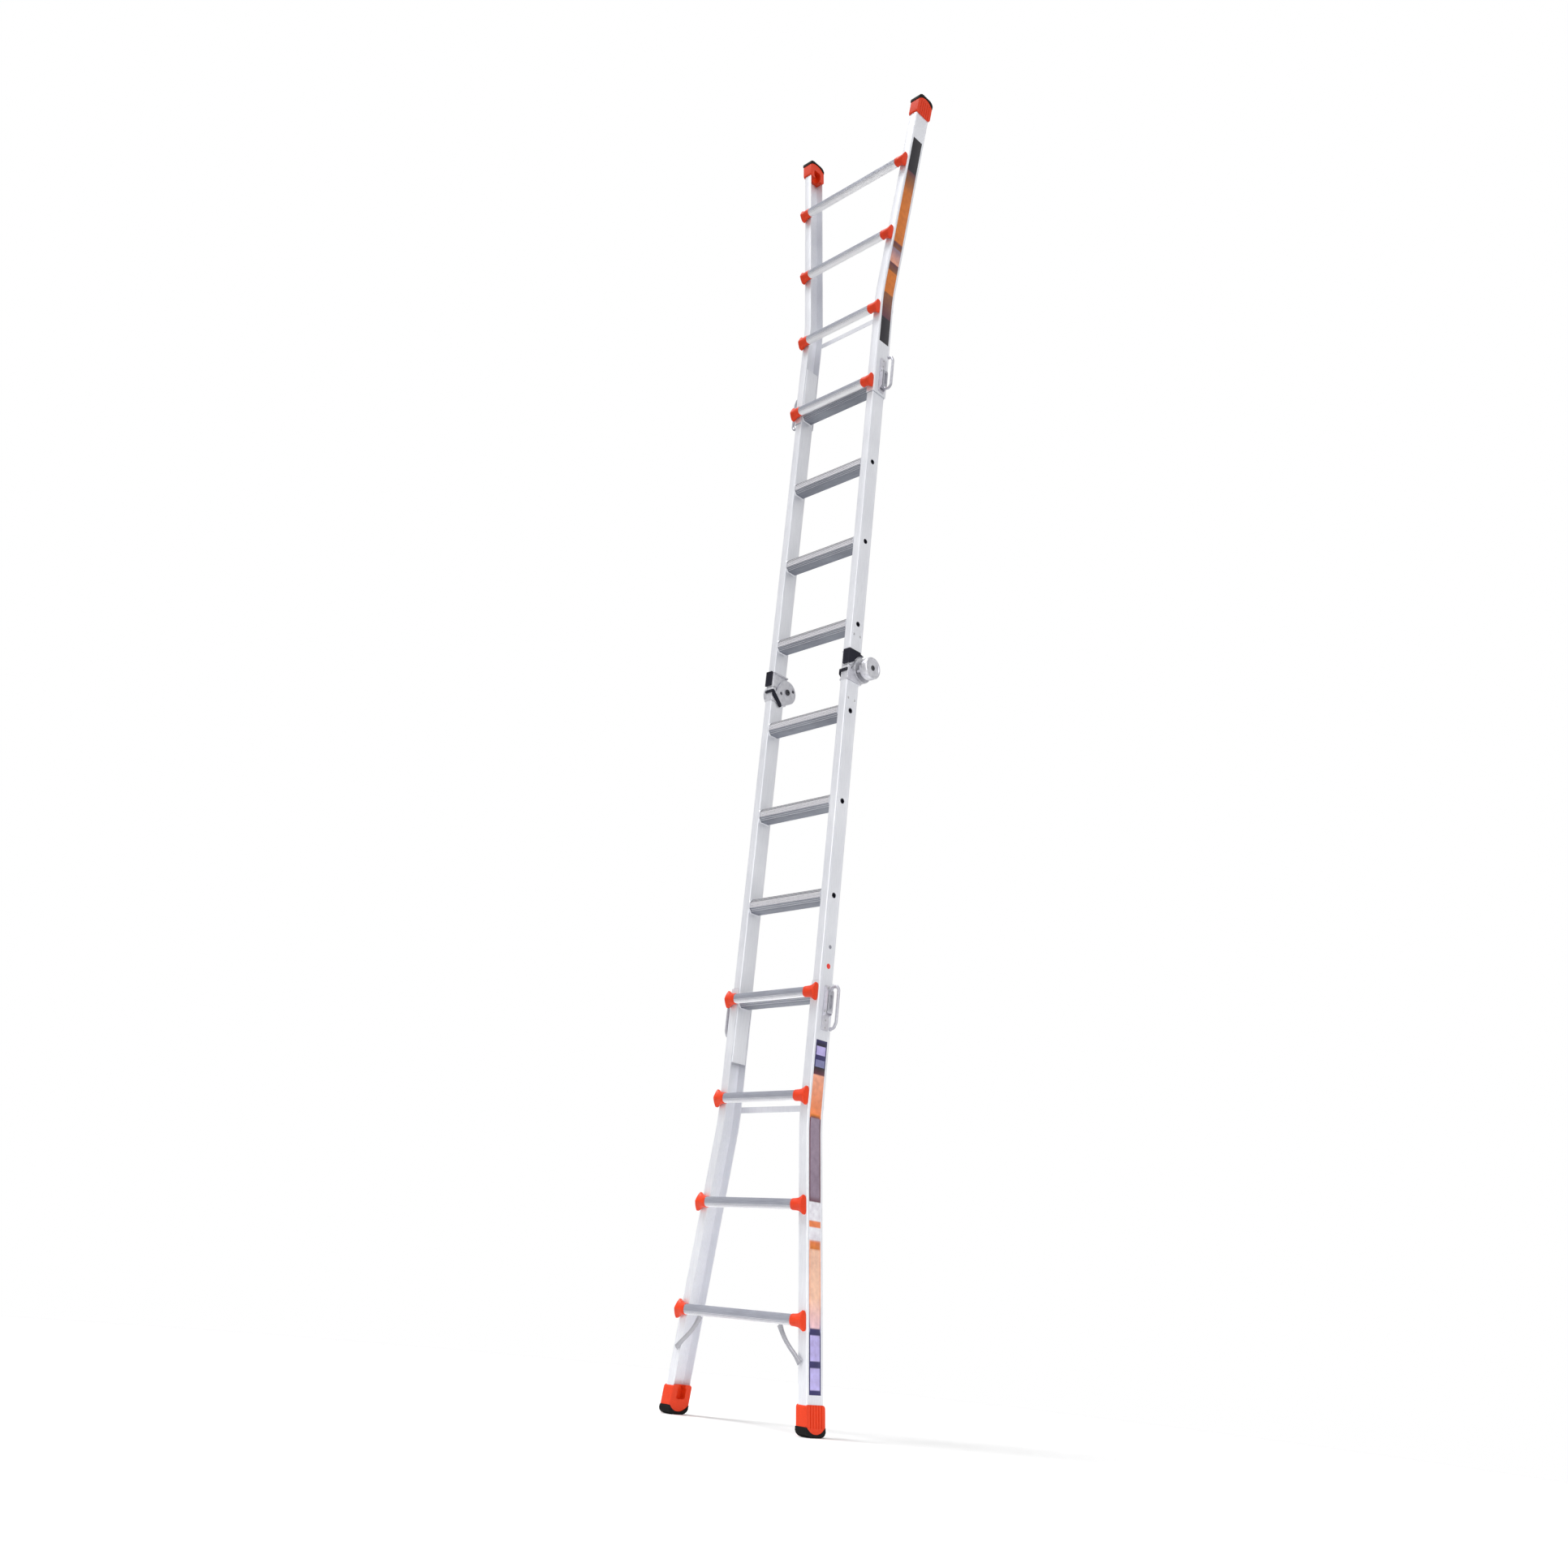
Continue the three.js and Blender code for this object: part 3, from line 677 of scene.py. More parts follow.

# ---------------------------------------------------------------------------------------------
# Outer rungs. Ribbed aluminium tubes carried in front of the outer rails, each pushed into an
# orange plastic cap at either end that flares out against the rail and spreads the load down it.
# ---------------------------------------------------------------------------------------------
# Painted shade: the tube's base tone is kept far darker than the rails' aluminium, standing in for the
# shade on the rungs.
ribbed_tube = surface(
    "ribbed rung aluminium", light=(0.40, 0.41, 0.47), dark=(0.28, 0.29, 0.34), metallic=0.5,
    roughness=0.4, grain=70, stretch=(0.35, 12, 12), bump=0.3,
)
# Painted reflection: the faces that look down are painted pale, as if lit by the white floor below.
paint_light_by_facing(ribbed_tube, "Z", -0.25, -0.65, (0.92, 0.92, 0.94))
moulded_orange = surface(
    "moulded orange plastic", light=(0.80, 0.052, 0.008), dark=(0.66, 0.034, 0.004), metallic=0,
    roughness=0.42, grain=420, stretch=(1, 1, 1), bump=0.25, spread=0.05, specular=0.3,
)
RUNG_Y = -46
RUNG_HALF_DEPTH = 14
RUNG_HALF_HEIGHT = 15
CAP_Y = -48
CAP_HALF_DEPTH = 13.9
CAP_HALF_HEIGHT = 27
TUBE_END = 158
TUBE_WALL = 2
RIB_COUNT = 30
SQUARENESS = 0.8


def tube_ring(x, z, shrink=0.0, rib=0.45):
    """The tube's outline at one end: a rounded square with fine ribs and grooves all round."""
    points = []
    for k in range(RIB_COUNT * 4):
        angle = 2 * math.pi * k / (RIB_COUNT * 4)
        inset = shrink + (rib if k % 4 in (2, 3) else 0)
        a, b = RUNG_HALF_DEPTH - inset, RUNG_HALF_HEIGHT - inset
        c, s = math.cos(angle), math.sin(angle)
        y = RUNG_Y + a * math.copysign(abs(c) ** SQUARENESS, c)
        points.append((x, y, z + b * math.copysign(abs(s) ** SQUARENESS, s)))
    return points


def cap_ring(x, y, z, a, b, front, back, lean, steps=48):
    """The cap's outline at a station: a deep, b tall, squarer or more pointed in front and behind."""
    points = []
    for k in range(steps):
        angle = 2 * math.pi * k / steps
        c, s = math.cos(angle), math.sin(angle)
        power = front if c < 0 else back
        up = z + b * math.copysign(abs(s) ** power, s)
        points.append((x + lean(up), y + a * math.copysign(abs(c) ** power, c), up))
    return points


CAP_STATIONS = (
    (186.4, 0, -3, -4.4, 1.6, 0.4), (185.6, 0, -1.2, -1.8, 1.6, 0.4), (183.6, 0, 0, 0, 1.6, 0.4),
    (180, 0, -0.2, -2.4, 1.55, 0.4), (176, 0, -0.5, -5, 1.5, 0.4), (171.5, 0, -0.8, -7.6, 1.35, 0.45),
    (167, 0, -1, -9, 1.2, 0.5), (160, 0.1, -0.6, -10, 1.05, 0.6), (154.4, 0.3, -0.2, -10.5, 0.9, 0.7),
    (147.4, 2, 0.9, -10.6, 0.8, 0.8), (146.2, 2, 0.5, -11.2, 0.8, 0.8),
)


def end_cap(z):
    """The cap, from its blunt outer end inwards along the rung to the lip round the tube."""
    reach = flare(z)
    rings = []
    for x, forward, a, b, front, back in CAP_STATIONS:
        lean = flare if x > 153 else (lambda up: reach)
        a, b = CAP_HALF_DEPTH + a, CAP_HALF_HEIGHT + b
        rings.append(cap_ring(x, CAP_Y + forward, z, a, b, front, back, lean))
    return loft(rings)


outer_levels = [sum(measured(f"lower_outer_rung_{k}"), Vector()).z / 2 for k in (1, 2, 3, 4)]
for half in HALVES:
    for k, z in enumerate(outer_levels, start=1):
        half_length = TUBE_END + flare(z)
        tube = loft([tube_ring(x, z) for x in (-half_length, half_length)],
                    [tube_ring(x, z, TUBE_WALL) for x in (-half_length, half_length)])
        place(f"{half}_rung_tube_{k}", tube, ribbed_tube, outer_section(half),
              [f"{half}_outer_rung_{k}"], half=half)
        for side_name, side in SIDES:
            place(f"{half}_{side_name}_rung_cap_{k}", end_cap(z), moulded_orange,
                  outer_section(half), side=side, half=half)

# ---------------------------------------------------------------------------------------------
# Rear ties. A flat aluminium bar riveted across the backs of the two outer rails, with rounded
# corners and a shallow hollow pressed along its back.
# ---------------------------------------------------------------------------------------------
rivet_steel = surface(
    "bright steel", light=(0.62, 0.62, 0.64), dark=(0.48, 0.48, 0.50), metallic=1,
    roughness=0.3, grain=200, stretch=(1, 1, 1), bump=0.1,
)


def rivet(axis, u, v, face, out, radius=3.4):
    """A domed rivet head standing on a face; out is +1 or -1 along the axis."""
    profile = [(radius, face), (radius, face + 0.35 * out), (radius * 0.82, face + 1.0 * out),
               (radius * 0.45, face + 1.35 * out), (radius * 0.1, face + 1.45 * out)]
    return turned(profile, axis, u, v, steps=20)


tie_low, tie_high = measured("lower_rear_tie")
tie_back = tie_high.y - 0.8
tie_outline = oblong(tie_low.x, tie_low.z, tie_high.x, tie_high.z, 7, steps=8)
hollow = oblong(tie_low.x + 26, tie_low.z + 6, tie_high.x - 26, tie_high.z - 6, 2.9, steps=6)
tie = cut(slab(tie_outline, "y", tie_low.y, tie_back), slab(hollow, "y", tie_back - 0.8, tie_back + 1.8))
tie_z = (tie_low.z + tie_high.z) / 2
tie_rivets = together(*[
    rivet("y", side * x, tie_z, tie_back, 1, 3.6) for side in (-1, 1) for x in (166, 177)
])
for half in HALVES:
    place(f"{half}_tie_bar", tie, drawn_aluminium, outer_section(half),
          [f"{half}_rear_tie"], half=half, edge=0.3)
    place(f"{half}_tie_rivets", tie_rivets, rivet_steel, outer_section(half), half=half)

# ---------------------------------------------------------------------------------------------
# Foot braces. Bowed aluminium straps on the lower half only, from under the lowest rung to the
# front of each leg, with a raised rib down the middle and a rivet at each end.
# ---------------------------------------------------------------------------------------------
brace_low, brace_high = measured("lower_brace_right")
BRACE_LINE = ((160, 0, 9.5), (168, -13.5, 8), (183, -34, 7), (204.5, -55, 6.5), (228, -74, 6.8),
              (246, -92, 9))


def brace_point(t):
    """A point on the strap's middle line and its half width, by a smooth curve through the stations."""
    spans = len(BRACE_LINE) - 1
    i = min(int(t * spans), spans - 1)
    f = t * spans - i
    p = [Vector(BRACE_LINE[min(max(j, 0), spans)]) for j in (i - 1, i, i + 1, i + 2)]
    return 0.5 * (2 * p[1] + (p[2] - p[0]) * f + (2 * p[0] - 5 * p[1] + 4 * p[2] - p[3]) * f * f
                  + (3 * p[1] - p[0] - 3 * p[2] + p[3]) * f ** 3)


BRACE_STEPS = 24
brace_section = rounded([
    (-1, 0, 0.12), (-0.45, 0, 0.05), (-0.3, -0.2, 0.05), (0.3, -0.2, 0.05),
    (0.45, 0, 0.05), (1, 0, 0.12), (1, 0.42, 0.12), (-1, 0.42, 0.12),
], steps=2)
brace_rings = []
for k in range(BRACE_STEPS + 1):
    t = k / BRACE_STEPS
    here = brace_point(t)
    ahead = brace_point(min(t + 0.01, 1)) - brace_point(max(t - 0.01, 0))
    across = Vector((-ahead.y, ahead.x)).normalized()
    ring = []
    for wide, y in brace_section:
        offset = across * here.z * wide
        ring.append((here.x + offset.x, brace_low.y + 2.6 + y * 7, brace_high.z + here.y + offset.y))
    brace_rings.append(ring)
strap_aluminium = surface(
    "mill-finish strap", light=(0.50, 0.50, 0.53), dark=(0.38, 0.38, 0.42), metallic=0.6,
    roughness=0.42, grain=60, stretch=(6, 6, 6), bump=0.2,
)
brace_shape = loft(brace_rings)
for side_name, side in SIDES:
    place(f"lower_{side_name}_foot_brace", brace_shape, strap_aluminium,
          outer_section("lower"), [f"lower_brace_{side_name}"], side)
brace_rivets = together(
    rivet("y", 243, brace_high.z - 87, brace_low.y + 2.7, -1, 3.2),
    rivet("y", 161, brace_high.z - 5, brace_low.y + 2.7, -1, 2.8),
)
for side_name, side in SIDES:
    place(f"lower_{side_name}_brace_rivets", brace_rivets, rivet_steel, outer_section("lower"),
          side=side)

# ---------------------------------------------------------------------------------------------
# Boots. Orange plastic shoes moulded to wrap the end of each outer rail, with upright grooves
# on the outside, a deep pocket on the inside, and two screws into the back of the rail.
# ---------------------------------------------------------------------------------------------
BOOT_X0, BOOT_X1 = 151.2, 189.8
BOOT_TOP = measured("lower_boot_right")[1].z
BOOT_FRONT, BOOT_BACK = -37.4, 37.2


def boot_line(y):
    """The rounded lower edge that the sole follows."""
    return 8 + 18 * abs(y / 37.5) ** 2.2


boot_edge = [(y, boot_line(y)) for y in [BOOT_FRONT + 74.6 * k / 24 for k in range(25)]]
boot_edge += rounded([(BOOT_BACK, 34, 0), (BOOT_BACK, BOOT_TOP, 9), (BOOT_FRONT, BOOT_TOP, 9),
                      (BOOT_FRONT, 34, 0)], steps=6)
boot_block = slab(boot_edge, "x", BOOT_X0, BOOT_X1)
pocket = slab(oblong(-17, 41, 17, 74, 7, steps=8), "x", 140, 172)
pocket_mouth = slab(rounded([(-13, 60, 2), (13, 60, 2), (13, 100, 0), (-13, 100, 0)]), "x", 140, 172)
upright_grooves = together(*[
    slab(rounded([(y - 1.6, 22, 1.5), (y + 1.6, 22, 1.5), (y + 1.6, BOOT_TOP + 4, 0),
                  (y - 1.6, BOOT_TOP + 4, 0)]), "x", BOOT_X1 - 1.5, BOOT_X1 + 2)
    for y in (-22, -11, 0, 11, 22)
])
rail_slot_outer = box_section(CHANNEL_X1 - 31.4, CHANNEL_X1 + 0.7, 33.9, 3)
rail_slot = slab(rail_slot_outer, "z", outer_low.z - 0.4, 120)
rail_core = slab(box_section(120, CHANNEL_X1 - 2.9, 30.6, 1), "z", 0, 140)
boot_shape = cut(boot_block, cut(rail_slot, rail_core), pocket, pocket_mouth, upright_grooves)
all_four("boot_shell", flared(boot_shape), moulded_orange, outer_section, "boot", 1.3)


def screw(axis, u, v, face, out, radius=4.2):
    """A pan-head screw with a cross recess."""
    head = turned([(radius, face), (radius, face + 0.5 * out), (radius * 0.8, face + 1.2 * out),
                   (radius * 0.3, face + 1.5 * out)], axis, u, v, steps=24)
    bars = []
    for wide, tall in ((radius * 0.55, 0.5), (0.5, radius * 0.55)):
        bar = oblong(u - wide, v - tall, u + wide, v + tall, 0)
        bars.append(slab(bar, axis, *sorted((face + 0.7 * out, face + 3 * out))))
    return cut(head, *bars)


BOOT_SCREW_Z = 60
BOOT_SCREW_FACE = 36.0
boot_screws = together(*[
    screw("y", x + flare(BOOT_SCREW_Z), BOOT_SCREW_Z, BOOT_SCREW_FACE, 1) for x in (178, 162)
])
all_four("boot_screws", boot_screws, rivet_steel, outer_section)

# ---------------------------------------------------------------------------------------------
# Soles. Black rubber pads bonded under the boots, curved up at front and back, with five
# tread grooves cut right across the flat of the bottom.
# ---------------------------------------------------------------------------------------------
sole_rubber = surface(
    "black rubber", light=(0.009, 0.008, 0.008), dark=(0.004, 0.004, 0.004), metallic=0,
    roughness=0.75, grain=260, stretch=(1, 1, 1), bump=0.6, specular=0.2,
)
SOLE_X0, SOLE_X1 = 149.2, 191.3
underside = rounded([
    (-39.4, 15, 0), (-36, 8.5, 4), (-28, 2.5, 8), (-18, 0, 8), (18, 0, 8), (27, 2.5, 8), (34, 7.5, 4),
    (37.2, 13.2, 0),
], steps=4)
topside = [(y, boot_line(y) - 0.4) for y in [BOOT_BACK - 74.6 * k / 24 for k in range(25)]]
sole_block = slab(underside + topside + [(-39, 24)], "x", SOLE_X0, SOLE_X1)
treads = together(*[
    slab(rounded([(y - 1.4, -2, 0), (y + 1.4, -2, 0), (y + 0.9, 2.2, 0.4), (y - 0.9, 2.2, 0.4)]), "x",
         130, 210)
    for y in (-14, -7, 0, 7, 14)
])
sole = flared(cut(sole_block, treads))
all_four("sole_pad", sole, sole_rubber, outer_section, "sole", 0.7)

# ---------------------------------------------------------------------------------------------
# Lock brackets. Folded zinc-plated steel: a back plate riveted to the outer rail and two cheeks
# that carry the lever's cross pin.
# ---------------------------------------------------------------------------------------------
plated_steel = surface(
    "zinc-plated steel", light=(0.80, 0.79, 0.84), dark=(0.64, 0.63, 0.69), metallic=0.7,
    roughness=0.36, grain=120, stretch=(1, 1, 1), bump=0.15,
)


def joined(body, *others):
    """The body run together with the others into one skin."""
    return worked("UNION", body, others)


bracket_low, bracket_high = measured("lower_lock_bracket_right")
PIVOT_X = 196
PIVOT_Z = LOCK_Z - 52
z0, z1 = bracket_low.z, bracket_high.z
y0, y1 = bracket_low.y, bracket_high.y
CHEEK = 2.6
plate = slab(oblong(y0, z0, y1, z1, 3), "x", 186.55, 189)
cheek_outline = rounded([(187.6, z0 + 42, 0), (198.5, z0 + 46, 5), (201, z0 + 60, 6), (201, z1 - 18, 8),
                         (187.6, z1 - 4, 0)], steps=6)
cheeks = together(slab(cheek_outline, "y", y0, y0 + CHEEK), slab(cheek_outline, "y", y1 - CHEEK, y1))
pin_hole = turned([(6, 180), (6, 195)], "x", LOCK_Y, LOCK_Z, steps=28)
bracket = cut(joined(plate, cheeks), pin_hole)
all_four("bracket", bracket, plated_steel, outer_section, "lock_bracket", 0.5)
cross_pin = turned([(2, y0 - 1.3), (4.2, y0 - 0.9), (4.6, y0 - 0.1), (3, y0 - 0.05), (3, y1 + 0.05),
                    (4.6, y1 + 0.1), (4.2, y1 + 0.9), (2, y1 + 1.3)], "y", PIVOT_X, PIVOT_Z, steps=24)
plate_rivets = together(*[rivet("x", LOCK_Y, z, 188.9, 1, 3) for z in (z0 + 8, z0 + 30, z1 - 7)])
all_four("bracket_pins", together(cross_pin, plate_rivets), rivet_steel, outer_section)

# ---------------------------------------------------------------------------------------------
# Lock levers. A cast hub that rocks on the cross pin and carries the lock pin, with a steel rod
# bent into an open loop to pull on, whose lower end turns back towards the rail and is upset
# into a small knob.
# ---------------------------------------------------------------------------------------------
px, pz = PIVOT_X, PIVOT_Z
hub_outline = rounded([
    (px - 5.4, pz - 1, 2), (px - 4, pz - 5.4, 3), (px + 4, pz - 5.4, 3), (px + 7, pz, 3),
    (px + 7, pz + 61, 4), (px + 2, pz + 65.8, 3), (px - 5.4, pz + 65.8, 2),
], steps=5)
HUB_HALF_WIDTH = 10.2
hub = cut(
    slab(hub_outline, "y", LOCK_Y - HUB_HALF_WIDTH, LOCK_Y + HUB_HALF_WIDTH),
    turned([(3.2, -20), (3.2, 30)], "y", px, pz, steps=24),
    slab(oblong(px + 3.5, pz + 8, px + 9, pz + 48, 0), "y", LOCK_Y - 5, LOCK_Y + 5),
)
lock_pin = turned([(3.2, 184.5), (4.5, 185.9), (4.5, px)], "x", LOCK_Y, LOCK_Z, steps=24)
LOOP_LINE = rounded([
    (px + 2, pz + 59, 0), (px + 11, pz + 71.5, 6), (222, pz + 74.5, 5), (231, pz + 64, 12),
    (231, pz - 34, 14), (224, pz - 50, 6), (214, pz - 53.5, 0),
], steps=6)
ROD_RADIUS = 4.6


def rod_along(line, radius, y, steps=16):
    """A round rod bent along a line of X and Z."""
    rings = []
    for i, (x, z) in enumerate(line):
        ahead = Vector(line[min(i + 1, len(line) - 1)]) - Vector(line[max(i - 1, 0)])
        across = Vector((ahead.y, -ahead.x)).normalized()
        ring = []
        for k in range(steps):
            angle = 2 * math.pi * k / steps
            out = across * radius * math.cos(angle)
            ring.append((x + out.x, y + radius * math.sin(angle), z + out.y))
        rings.append(ring)
    return loft(rings)


loop = rod_along(LOOP_LINE, ROD_RADIUS, LOCK_Y)
knob_profile = [(3, 207), (5.6, 208.4), (6.2, 211), (5.6, 213.6), (3, 215)]
knob_end = turned(knob_profile, "x", LOCK_Y, pz - 53.5, steps=20)
lever = together(hub, lock_pin, loop, knob_end)
cast_grey = surface(
    "grey cast steel", light=(0.58, 0.58, 0.63), dark=(0.42, 0.42, 0.47), metallic=0.6,
    roughness=0.42, grain=120, stretch=(1, 1, 1), bump=0.15,
)
for half in HALVES:
    for side_name, side in SIDES:
        place(f"{half}_{side_name}_lever", lever, cast_grey, f"{half}_{side_name}_lock_lever",
              [f"{half}_lock_lever_{side_name}"], side, half, 0.5)

# ---------------------------------------------------------------------------------------------
# Hinge arms. Pressed and plated steel discs on blocks whose tongues are riveted into the ends of
# the inner rails. The lower arm has two discs, with a raised ring on the outer one, and the upper
# arm has one disc between them, with a round stop on its edge.
# ---------------------------------------------------------------------------------------------
hinge_steel = surface(
    "pressed hinge steel", light=(0.78, 0.78, 0.82), dark=(0.56, 0.56, 0.61), metallic=0.7,
    roughness=0.36, grain=90, stretch=(1, 1, 1), bump=0.2,
)
bolt_low, bolt_high = measured("hinge_pivot_bolt_right")
BOLT_Y = (bolt_low.y + bolt_high.y) / 2
DISC_RADIUS = 40.9
PIN_CIRCLE = 30
PIN_ANGLE = math.radians(25)
STOP_ANGLE = math.radians(63)
STOP_RADIUS = 5.7
BOLT_BORE = 6.45
PIN_BORE = 5.6
ARM_FRONT = 67.8
ARM_BACK = 0.7
RAIL_GAP = fold_height - inner_high.z


def arm_outline():
    """A disc drawn out to the rail: Y from the bolt, Z from the bolt towards the rail."""
    outline = [(-ARM_BACK, RAIL_GAP - 0.4), (-ARM_BACK, DISC_RADIUS)]
    for k in range(61):
        angle = math.radians(89 - 249 * k / 60)
        outline.append((DISC_RADIUS * math.cos(angle), DISC_RADIUS * math.sin(angle)))
    outline += [(-ARM_FRONT, RAIL_GAP - 6), (-ARM_FRONT, RAIL_GAP - 0.4)]
    return outline


pin_centres = [
    (BOLT_Y + s * PIN_CIRCLE * math.cos(PIN_ANGLE), fold_height + s * PIN_CIRCLE * math.sin(PIN_ANGLE))
    for s in (-1, 1)
]


def hinge_arm(direction, plates):
    """An arm above the bolt (1) or below it (-1), with discs between the X values of its plates."""

    def upright(section, start, end):
        low, high = sorted((fold_height + direction * start, fold_height + direction * end))
        return slab(section, "z", low, high)

    outline = [(BOLT_Y + y, fold_height + direction * z) for y, z in arm_outline()]
    block = upright(oblong(151.1, BOLT_Y - ARM_FRONT - 0.1, 184.9, BOLT_Y - ARM_BACK, 2),
                    47.3, RAIL_GAP - 0.35)
    tongue = upright(box_section(156.5, 179.5, 27.5, 2.5), RAIL_GAP - 0.5, 138.9)
    riser = upright(oblong(153.6, -29.9, 182.4, -12, 2), 0.9, 48)
    discs = [slab(outline, "x", a, b) for a, b in plates]
    if direction > 0:
        stop_y = BOLT_Y + DISC_RADIUS * math.cos(STOP_ANGLE)
        stop_z = fold_height + DISC_RADIUS * math.sin(STOP_ANGLE)
        discs.append(turned([(STOP_RADIUS, along) for along in plates[0]], "x", stop_y, stop_z, 32))
    arm = joined(block, tongue, riser, *discs)
    holes = [turned([(BOLT_BORE, 140), (BOLT_BORE, 200)], "x", BOLT_Y, fold_height, 36)]
    holes += [turned([(PIN_BORE, 140), (PIN_BORE, 200)], "x", y, z, 28) for y, z in pin_centres]
    return cut(arm, *holes)


RING_RADIUS = 37.3
raised_ring = cut(
    turned([(RING_RADIUS + 2, 184.9), (RING_RADIUS + 2, 185.6), (RING_RADIUS + 1.4, 186.1),
            (RING_RADIUS - 1.4, 186.1), (RING_RADIUS - 2, 185.6), (RING_RADIUS - 2, 184.9)],
           "x", BOLT_Y, fold_height, 64),
    turned([(RING_RADIUS - 2, 180), (RING_RADIUS - 2, 190)], "x", BOLT_Y, fold_height, 64),
)
lower_arm = hinge_arm(-1, [(151, 157), (179, 185)])
upper_arm = hinge_arm(1, [(157.5, 178.5)])
for side_name, side in SIDES:
    place(f"{side_name}_lower_hinge_arm", lower_arm, hinge_steel, "lower_inner_section",
          [f"hinge_lower_arm_{side_name}"], side, edge=0.5)
    place(f"{side_name}_upper_hinge_arm", upper_arm, hinge_steel, "upper_inner_section",
          [f"hinge_upper_arm_{side_name}"], side, edge=0.5)
    place(f"{side_name}_hinge_disc_ring", raised_ring, hinge_steel, "lower_inner_section",
          side=side)
arm_rivets = together(*[
    rivet("x", y, fold_height - RAIL_GAP - 60, inner_high.x - 0.1, 1, 4) for y in (-15, 15)
])
all_four("arm_rivets", arm_rivets, rivet_steel, inner_section)

# ---------------------------------------------------------------------------------------------
# Hinge bolts. A turned steel bolt through the three discs of each hinge, with a washer and a domed
# head with a hexagon socket on the inside, and long enough outside to carry the palm button.
# ---------------------------------------------------------------------------------------------
dark_steel = surface(
    "blackened steel", light=(0.10, 0.10, 0.11), dark=(0.05, 0.05, 0.06), metallic=0.8,
    roughness=0.42, grain=200, stretch=(1, 1, 1), bump=0.15,
)
x_in = bolt_low.x
x_out = bolt_high.x
bolt = turned([
    (4, x_in), (8.6, x_in + 0.3), (10.4, x_in + 1.4), (10.9, x_in + 2.4), (10.9, 150.7),
    (6.1, 150.75), (6.1, x_out - 0.8), (5.3, x_out),
], "x", BOLT_Y, fold_height, 48)
SOCKET_RADIUS = 4
socket = circle(BOLT_Y, fold_height, SOCKET_RADIUS, 6)
socket_key = slab(socket, "x", x_in - 2, x_in + 3)
washer = turned([(13.5, 149.7), (13.5, 150.9)], "x", BOLT_Y, fold_height, 48,
                bore=[(6.6, 149.7), (6.6, 150.9)])
for side_name, side in SIDES:
    place(f"{side_name}_hinge_bolt", cut(bolt, socket_key), dark_steel, "lower_inner_section",
          [f"hinge_pivot_bolt_{side_name}"], side, edge=0.2)
    place(f"{side_name}_hinge_washer", washer, plated_steel, "lower_inner_section", side=side)

# ---------------------------------------------------------------------------------------------
# Palm buttons. A turned steel drum on the outer end of the bolt, with a flange, a dished face and
# a dark centre screw. Its inner side carries the two pins that lock the hinge.
# ---------------------------------------------------------------------------------------------
face = measured("hinge_palm_button_right")[1].x
knob = turned([
    (6.7, 200.1), (33.8, 200.1), (33.9, 200.6), (33.9, 204.4), (34.6, 205.6), (36.4, 207.6),
    (36.4, 214), (35.9, 214.5), (35.9, 215.5), (36.4, 216), (36.4, face - 4), (35.6, face - 2),
    (33.8, face - 0.7), (31.4, face - 0.1), (29, face - 0.6), (27.4, face - 2), (15, face - 3),
    (11, face - 2.6), (10.2, face - 2.2), (6.7, face - 2.2),
], "x", BOLT_Y, fold_height, 72)
knob_bore = turned([(6.7, 190), (6.7, face - 3)], "x", BOLT_Y, fold_height, 72)
knob = cut(knob, knob_bore)
lock_pins = together(*[
    turned([(3.4, 187.6), (4.5, 188.9), (4.5, 200.4)], "x", y, z, 28) for y, z in pin_centres
])
centre_screw = turned([(9, face - 2.6), (9, face - 1.4), (8, face - 0.6), (1, face - 0.3)], "x",
                      BOLT_Y, fold_height, 36)
centre_screw = cut(centre_screw, slab(socket, "x", face - 1.6, face + 4))
for side_name, side in SIDES:
    button = f"{side_name}_palm_button"
    place(f"{side_name}_palm_knob", together(knob, lock_pins), hinge_steel,
          button, [f"hinge_palm_button_{side_name}"], side, edge=0.2)
    place(f"{side_name}_palm_screw", centre_screw, dark_steel, button, side=side)

# ---------------------------------------------------------------------------------------------
# Hinge covers. Black moulded plastic: a grooved shell over the front and outer side of the upper
# arm, and below it a front lip with a slanting guard on the inner side, held by small screws.
# ---------------------------------------------------------------------------------------------
shell_low, shell_high = measured("hinge_upper_cover_right")
shell_top = shell_high.z - 0.1
SHELL_FRONT = -33.4
COVER_BACK = -30.5
COVER_ARC = 47.7
arc = [(BOLT_Y + COVER_ARC * math.cos(math.radians(160 - 4 * k)),
        fold_height + COVER_ARC * math.sin(math.radians(160 - 4 * k))) for k in range(17)]
cheek_side = [(SHELL_FRONT, shell_low.z + 0.2), (-27.5, shell_low.z + 0.2)] + arc
cheek_side += rounded([(31, shell_top, 2), (SHELL_FRONT, shell_top, 2),
                       (SHELL_FRONT, shell_high.z - 20, 0)])[:-1]
cheek_plate = slab(cheek_side, "x", 185.35, 187.4)
front_cover = slab(rounded([
    (160.1, fold_height + 4.1, 3), (187.3, fold_height + 4.1, 1),
    (187.3, shell_top, 1), (160.1, shell_top, 3),
]), "y", SHELL_FRONT, COVER_BACK)
cover_grooves = together(*[
    slab(oblong(164, z - 0.9, 183, z + 0.9, 0.7), "y", SHELL_FRONT - 1.6, SHELL_FRONT + 0.6)
    for z in (fold_height + 14 + 6 * k for k in range(7))
])
upper_cover = cut(joined(cheek_plate, front_cover), cover_grooves)
LIP_FRONT = -32.9
front_plate = slab(oblong(150.2, fold_height - 21.8, 183.8, fold_height - 12.2, 2), "y",
                   LIP_FRONT, COVER_BACK)
guard = slab(rounded([
    (LIP_FRONT, fold_height - 29.8, 2), (7.8, fold_height - 65.6, 4), (15.6, fold_height - 59.6, 2),
    (13.6, fold_height - 50.2, 5), (-26.6, fold_height - 12.2, 3), (LIP_FRONT, fold_height - 12.2, 0),
]), "x", 148.4, 150.5)
lower_cover = joined(front_plate, guard)
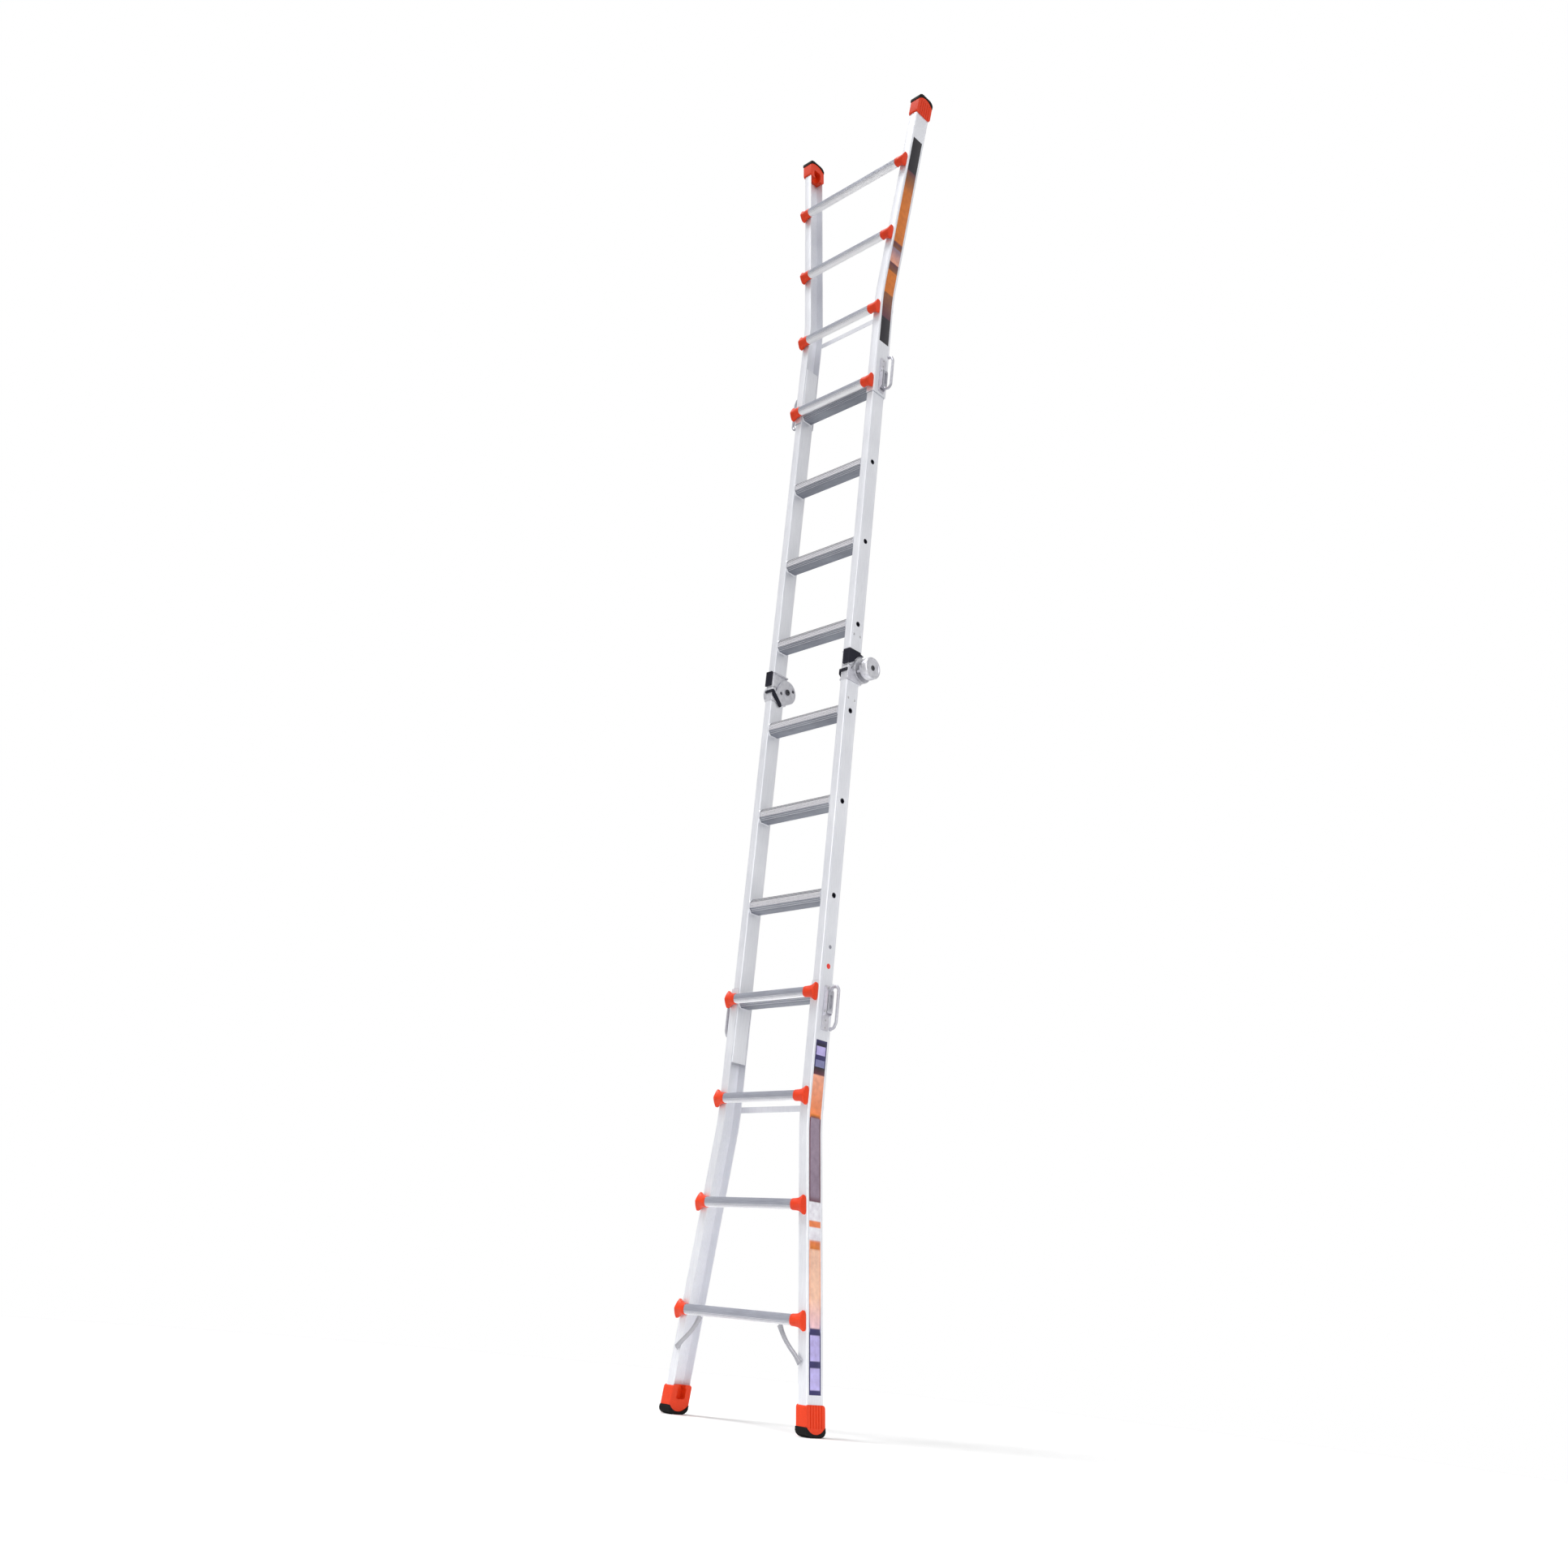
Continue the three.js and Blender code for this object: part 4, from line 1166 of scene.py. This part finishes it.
cover_screws = together(*[
    screw("y", x, fold_height - 17, LIP_FRONT + 0.1, -1, 2.6) for x in (156, 178)
])
for side_name, side in SIDES:
    place(f"{side_name}_upper_hinge_cover", upper_cover, moulded_black,
          "upper_inner_section", [f"hinge_upper_cover_{side_name}"], side, edge=0.4)
    place(f"{side_name}_lower_hinge_cover", lower_cover, moulded_black,
          "lower_inner_section", [f"hinge_lower_cover_{side_name}"], side, edge=0.4)
    place(f"{side_name}_cover_screws", cover_screws, dark_steel, "lower_inner_section", side=side)

# ---------------------------------------------------------------------------------------------
# Studio. A round sheet of pale paper on a white sweep, a broad lamp high in front and to the left,
# a weak fill on the right, and the camera low at the right, looking up the ladder.
# ---------------------------------------------------------------------------------------------
paper = surface(
    "pale studio paper", light=(0.93, 0.93, 0.93), dark=(0.92, 0.92, 0.92), metallic=0,
    roughness=0.9, grain=8, stretch=(1, 1, 1), bump=0.0, spread=0.02,
)
floor_mesh = bpy.data.meshes.new("floor")
floor_shape = bmesh.new()
FLOOR_RADIUS = 3.4
FLOOR_SIDES = 96
FLOOR_DROP = 0.0004
floor_shape.faces.new([
    floor_shape.verts.new((x, y, -FLOOR_DROP)) for x, y in circle(0, 0, FLOOR_RADIUS, FLOOR_SIDES)
])
floor_shape.to_mesh(floor_mesh)
floor_mesh.materials.append(paper)
floor = bpy.data.objects.new("floor", floor_mesh)
scene_collection.objects.link(floor)

world = bpy.data.worlds.new("studio")
bpy.context.scene.world = world
world.use_nodes = True
world.node_tree.nodes["Background"].inputs["Color"].default_value = (1, 1, 1, 1)
world.node_tree.nodes["Background"].inputs["Strength"].default_value = 0.6

sweep_white = bpy.data.materials.new("lit white sweep")
sweep_white.use_nodes = True
sweep_shader = sweep_white.node_tree.nodes["Principled BSDF"]
sweep_shader.inputs["Base Color"].default_value = (0, 0, 0, 1)
sweep_shader.inputs["Specular IOR Level"].default_value = 0
sweep_shader.inputs["Emission Color"].default_value = (1, 1, 1, 1)
sweep_shader.inputs["Emission Strength"].default_value = 1.0
SWEEP_RADIUS = 45
sweep_shape = bmesh.new()
bmesh.ops.create_uvsphere(sweep_shape, u_segments=48, v_segments=24, radius=SWEEP_RADIUS)
sweep_mesh = bpy.data.meshes.new("sweep")
sweep_shape.to_mesh(sweep_mesh)
sweep_mesh.materials.append(sweep_white)
sweep = bpy.data.objects.new("sweep", sweep_mesh)
sweep.visible_diffuse = False
sweep.visible_glossy = False
sweep.visible_transmission = False
sweep.visible_shadow = False
scene_collection.objects.link(sweep)

for name, strength, breadth, stand in (
    ("front lamp", 2.2, 22, (-2.4, -3.6, 8)),
    ("side fill", 0.9, 40, (6, -1.5, 1.8)),
):
    lamp = bpy.data.lights.new(name, "SUN")
    lamp.energy = strength
    lamp.angle = math.radians(breadth)
    holder = bpy.data.objects.new(name, lamp)
    holder.location = stand
    holder.rotation_euler = (-holder.location).to_track_quat("-Z", "Y").to_euler()
    scene_collection.objects.link(holder)

EYE = Vector((3.170, -3.2076, 0.2812))
VIEW_RIGHT = Vector((0.72199617, 0.68508279, 0.09686636))
VIEW_UP = Vector((0.16723425, -0.30864074, 0.9363619))
VIEW_BACK = VIEW_RIGHT.cross(VIEW_UP)
camera = bpy.data.objects.new("camera", bpy.data.cameras.new("camera"))
camera.data.sensor_width = 36
camera.data.lens = 34.25
camera.data.clip_start = 0.05
camera.data.clip_end = 300
turn = Matrix((VIEW_RIGHT, VIEW_UP, VIEW_BACK)).transposed().to_4x4()
camera.matrix_world = Matrix.Translation(EYE) @ turn
scene_collection.objects.link(camera)
bpy.context.scene.camera = camera
bpy.context.scene.view_settings.view_transform = "Standard"
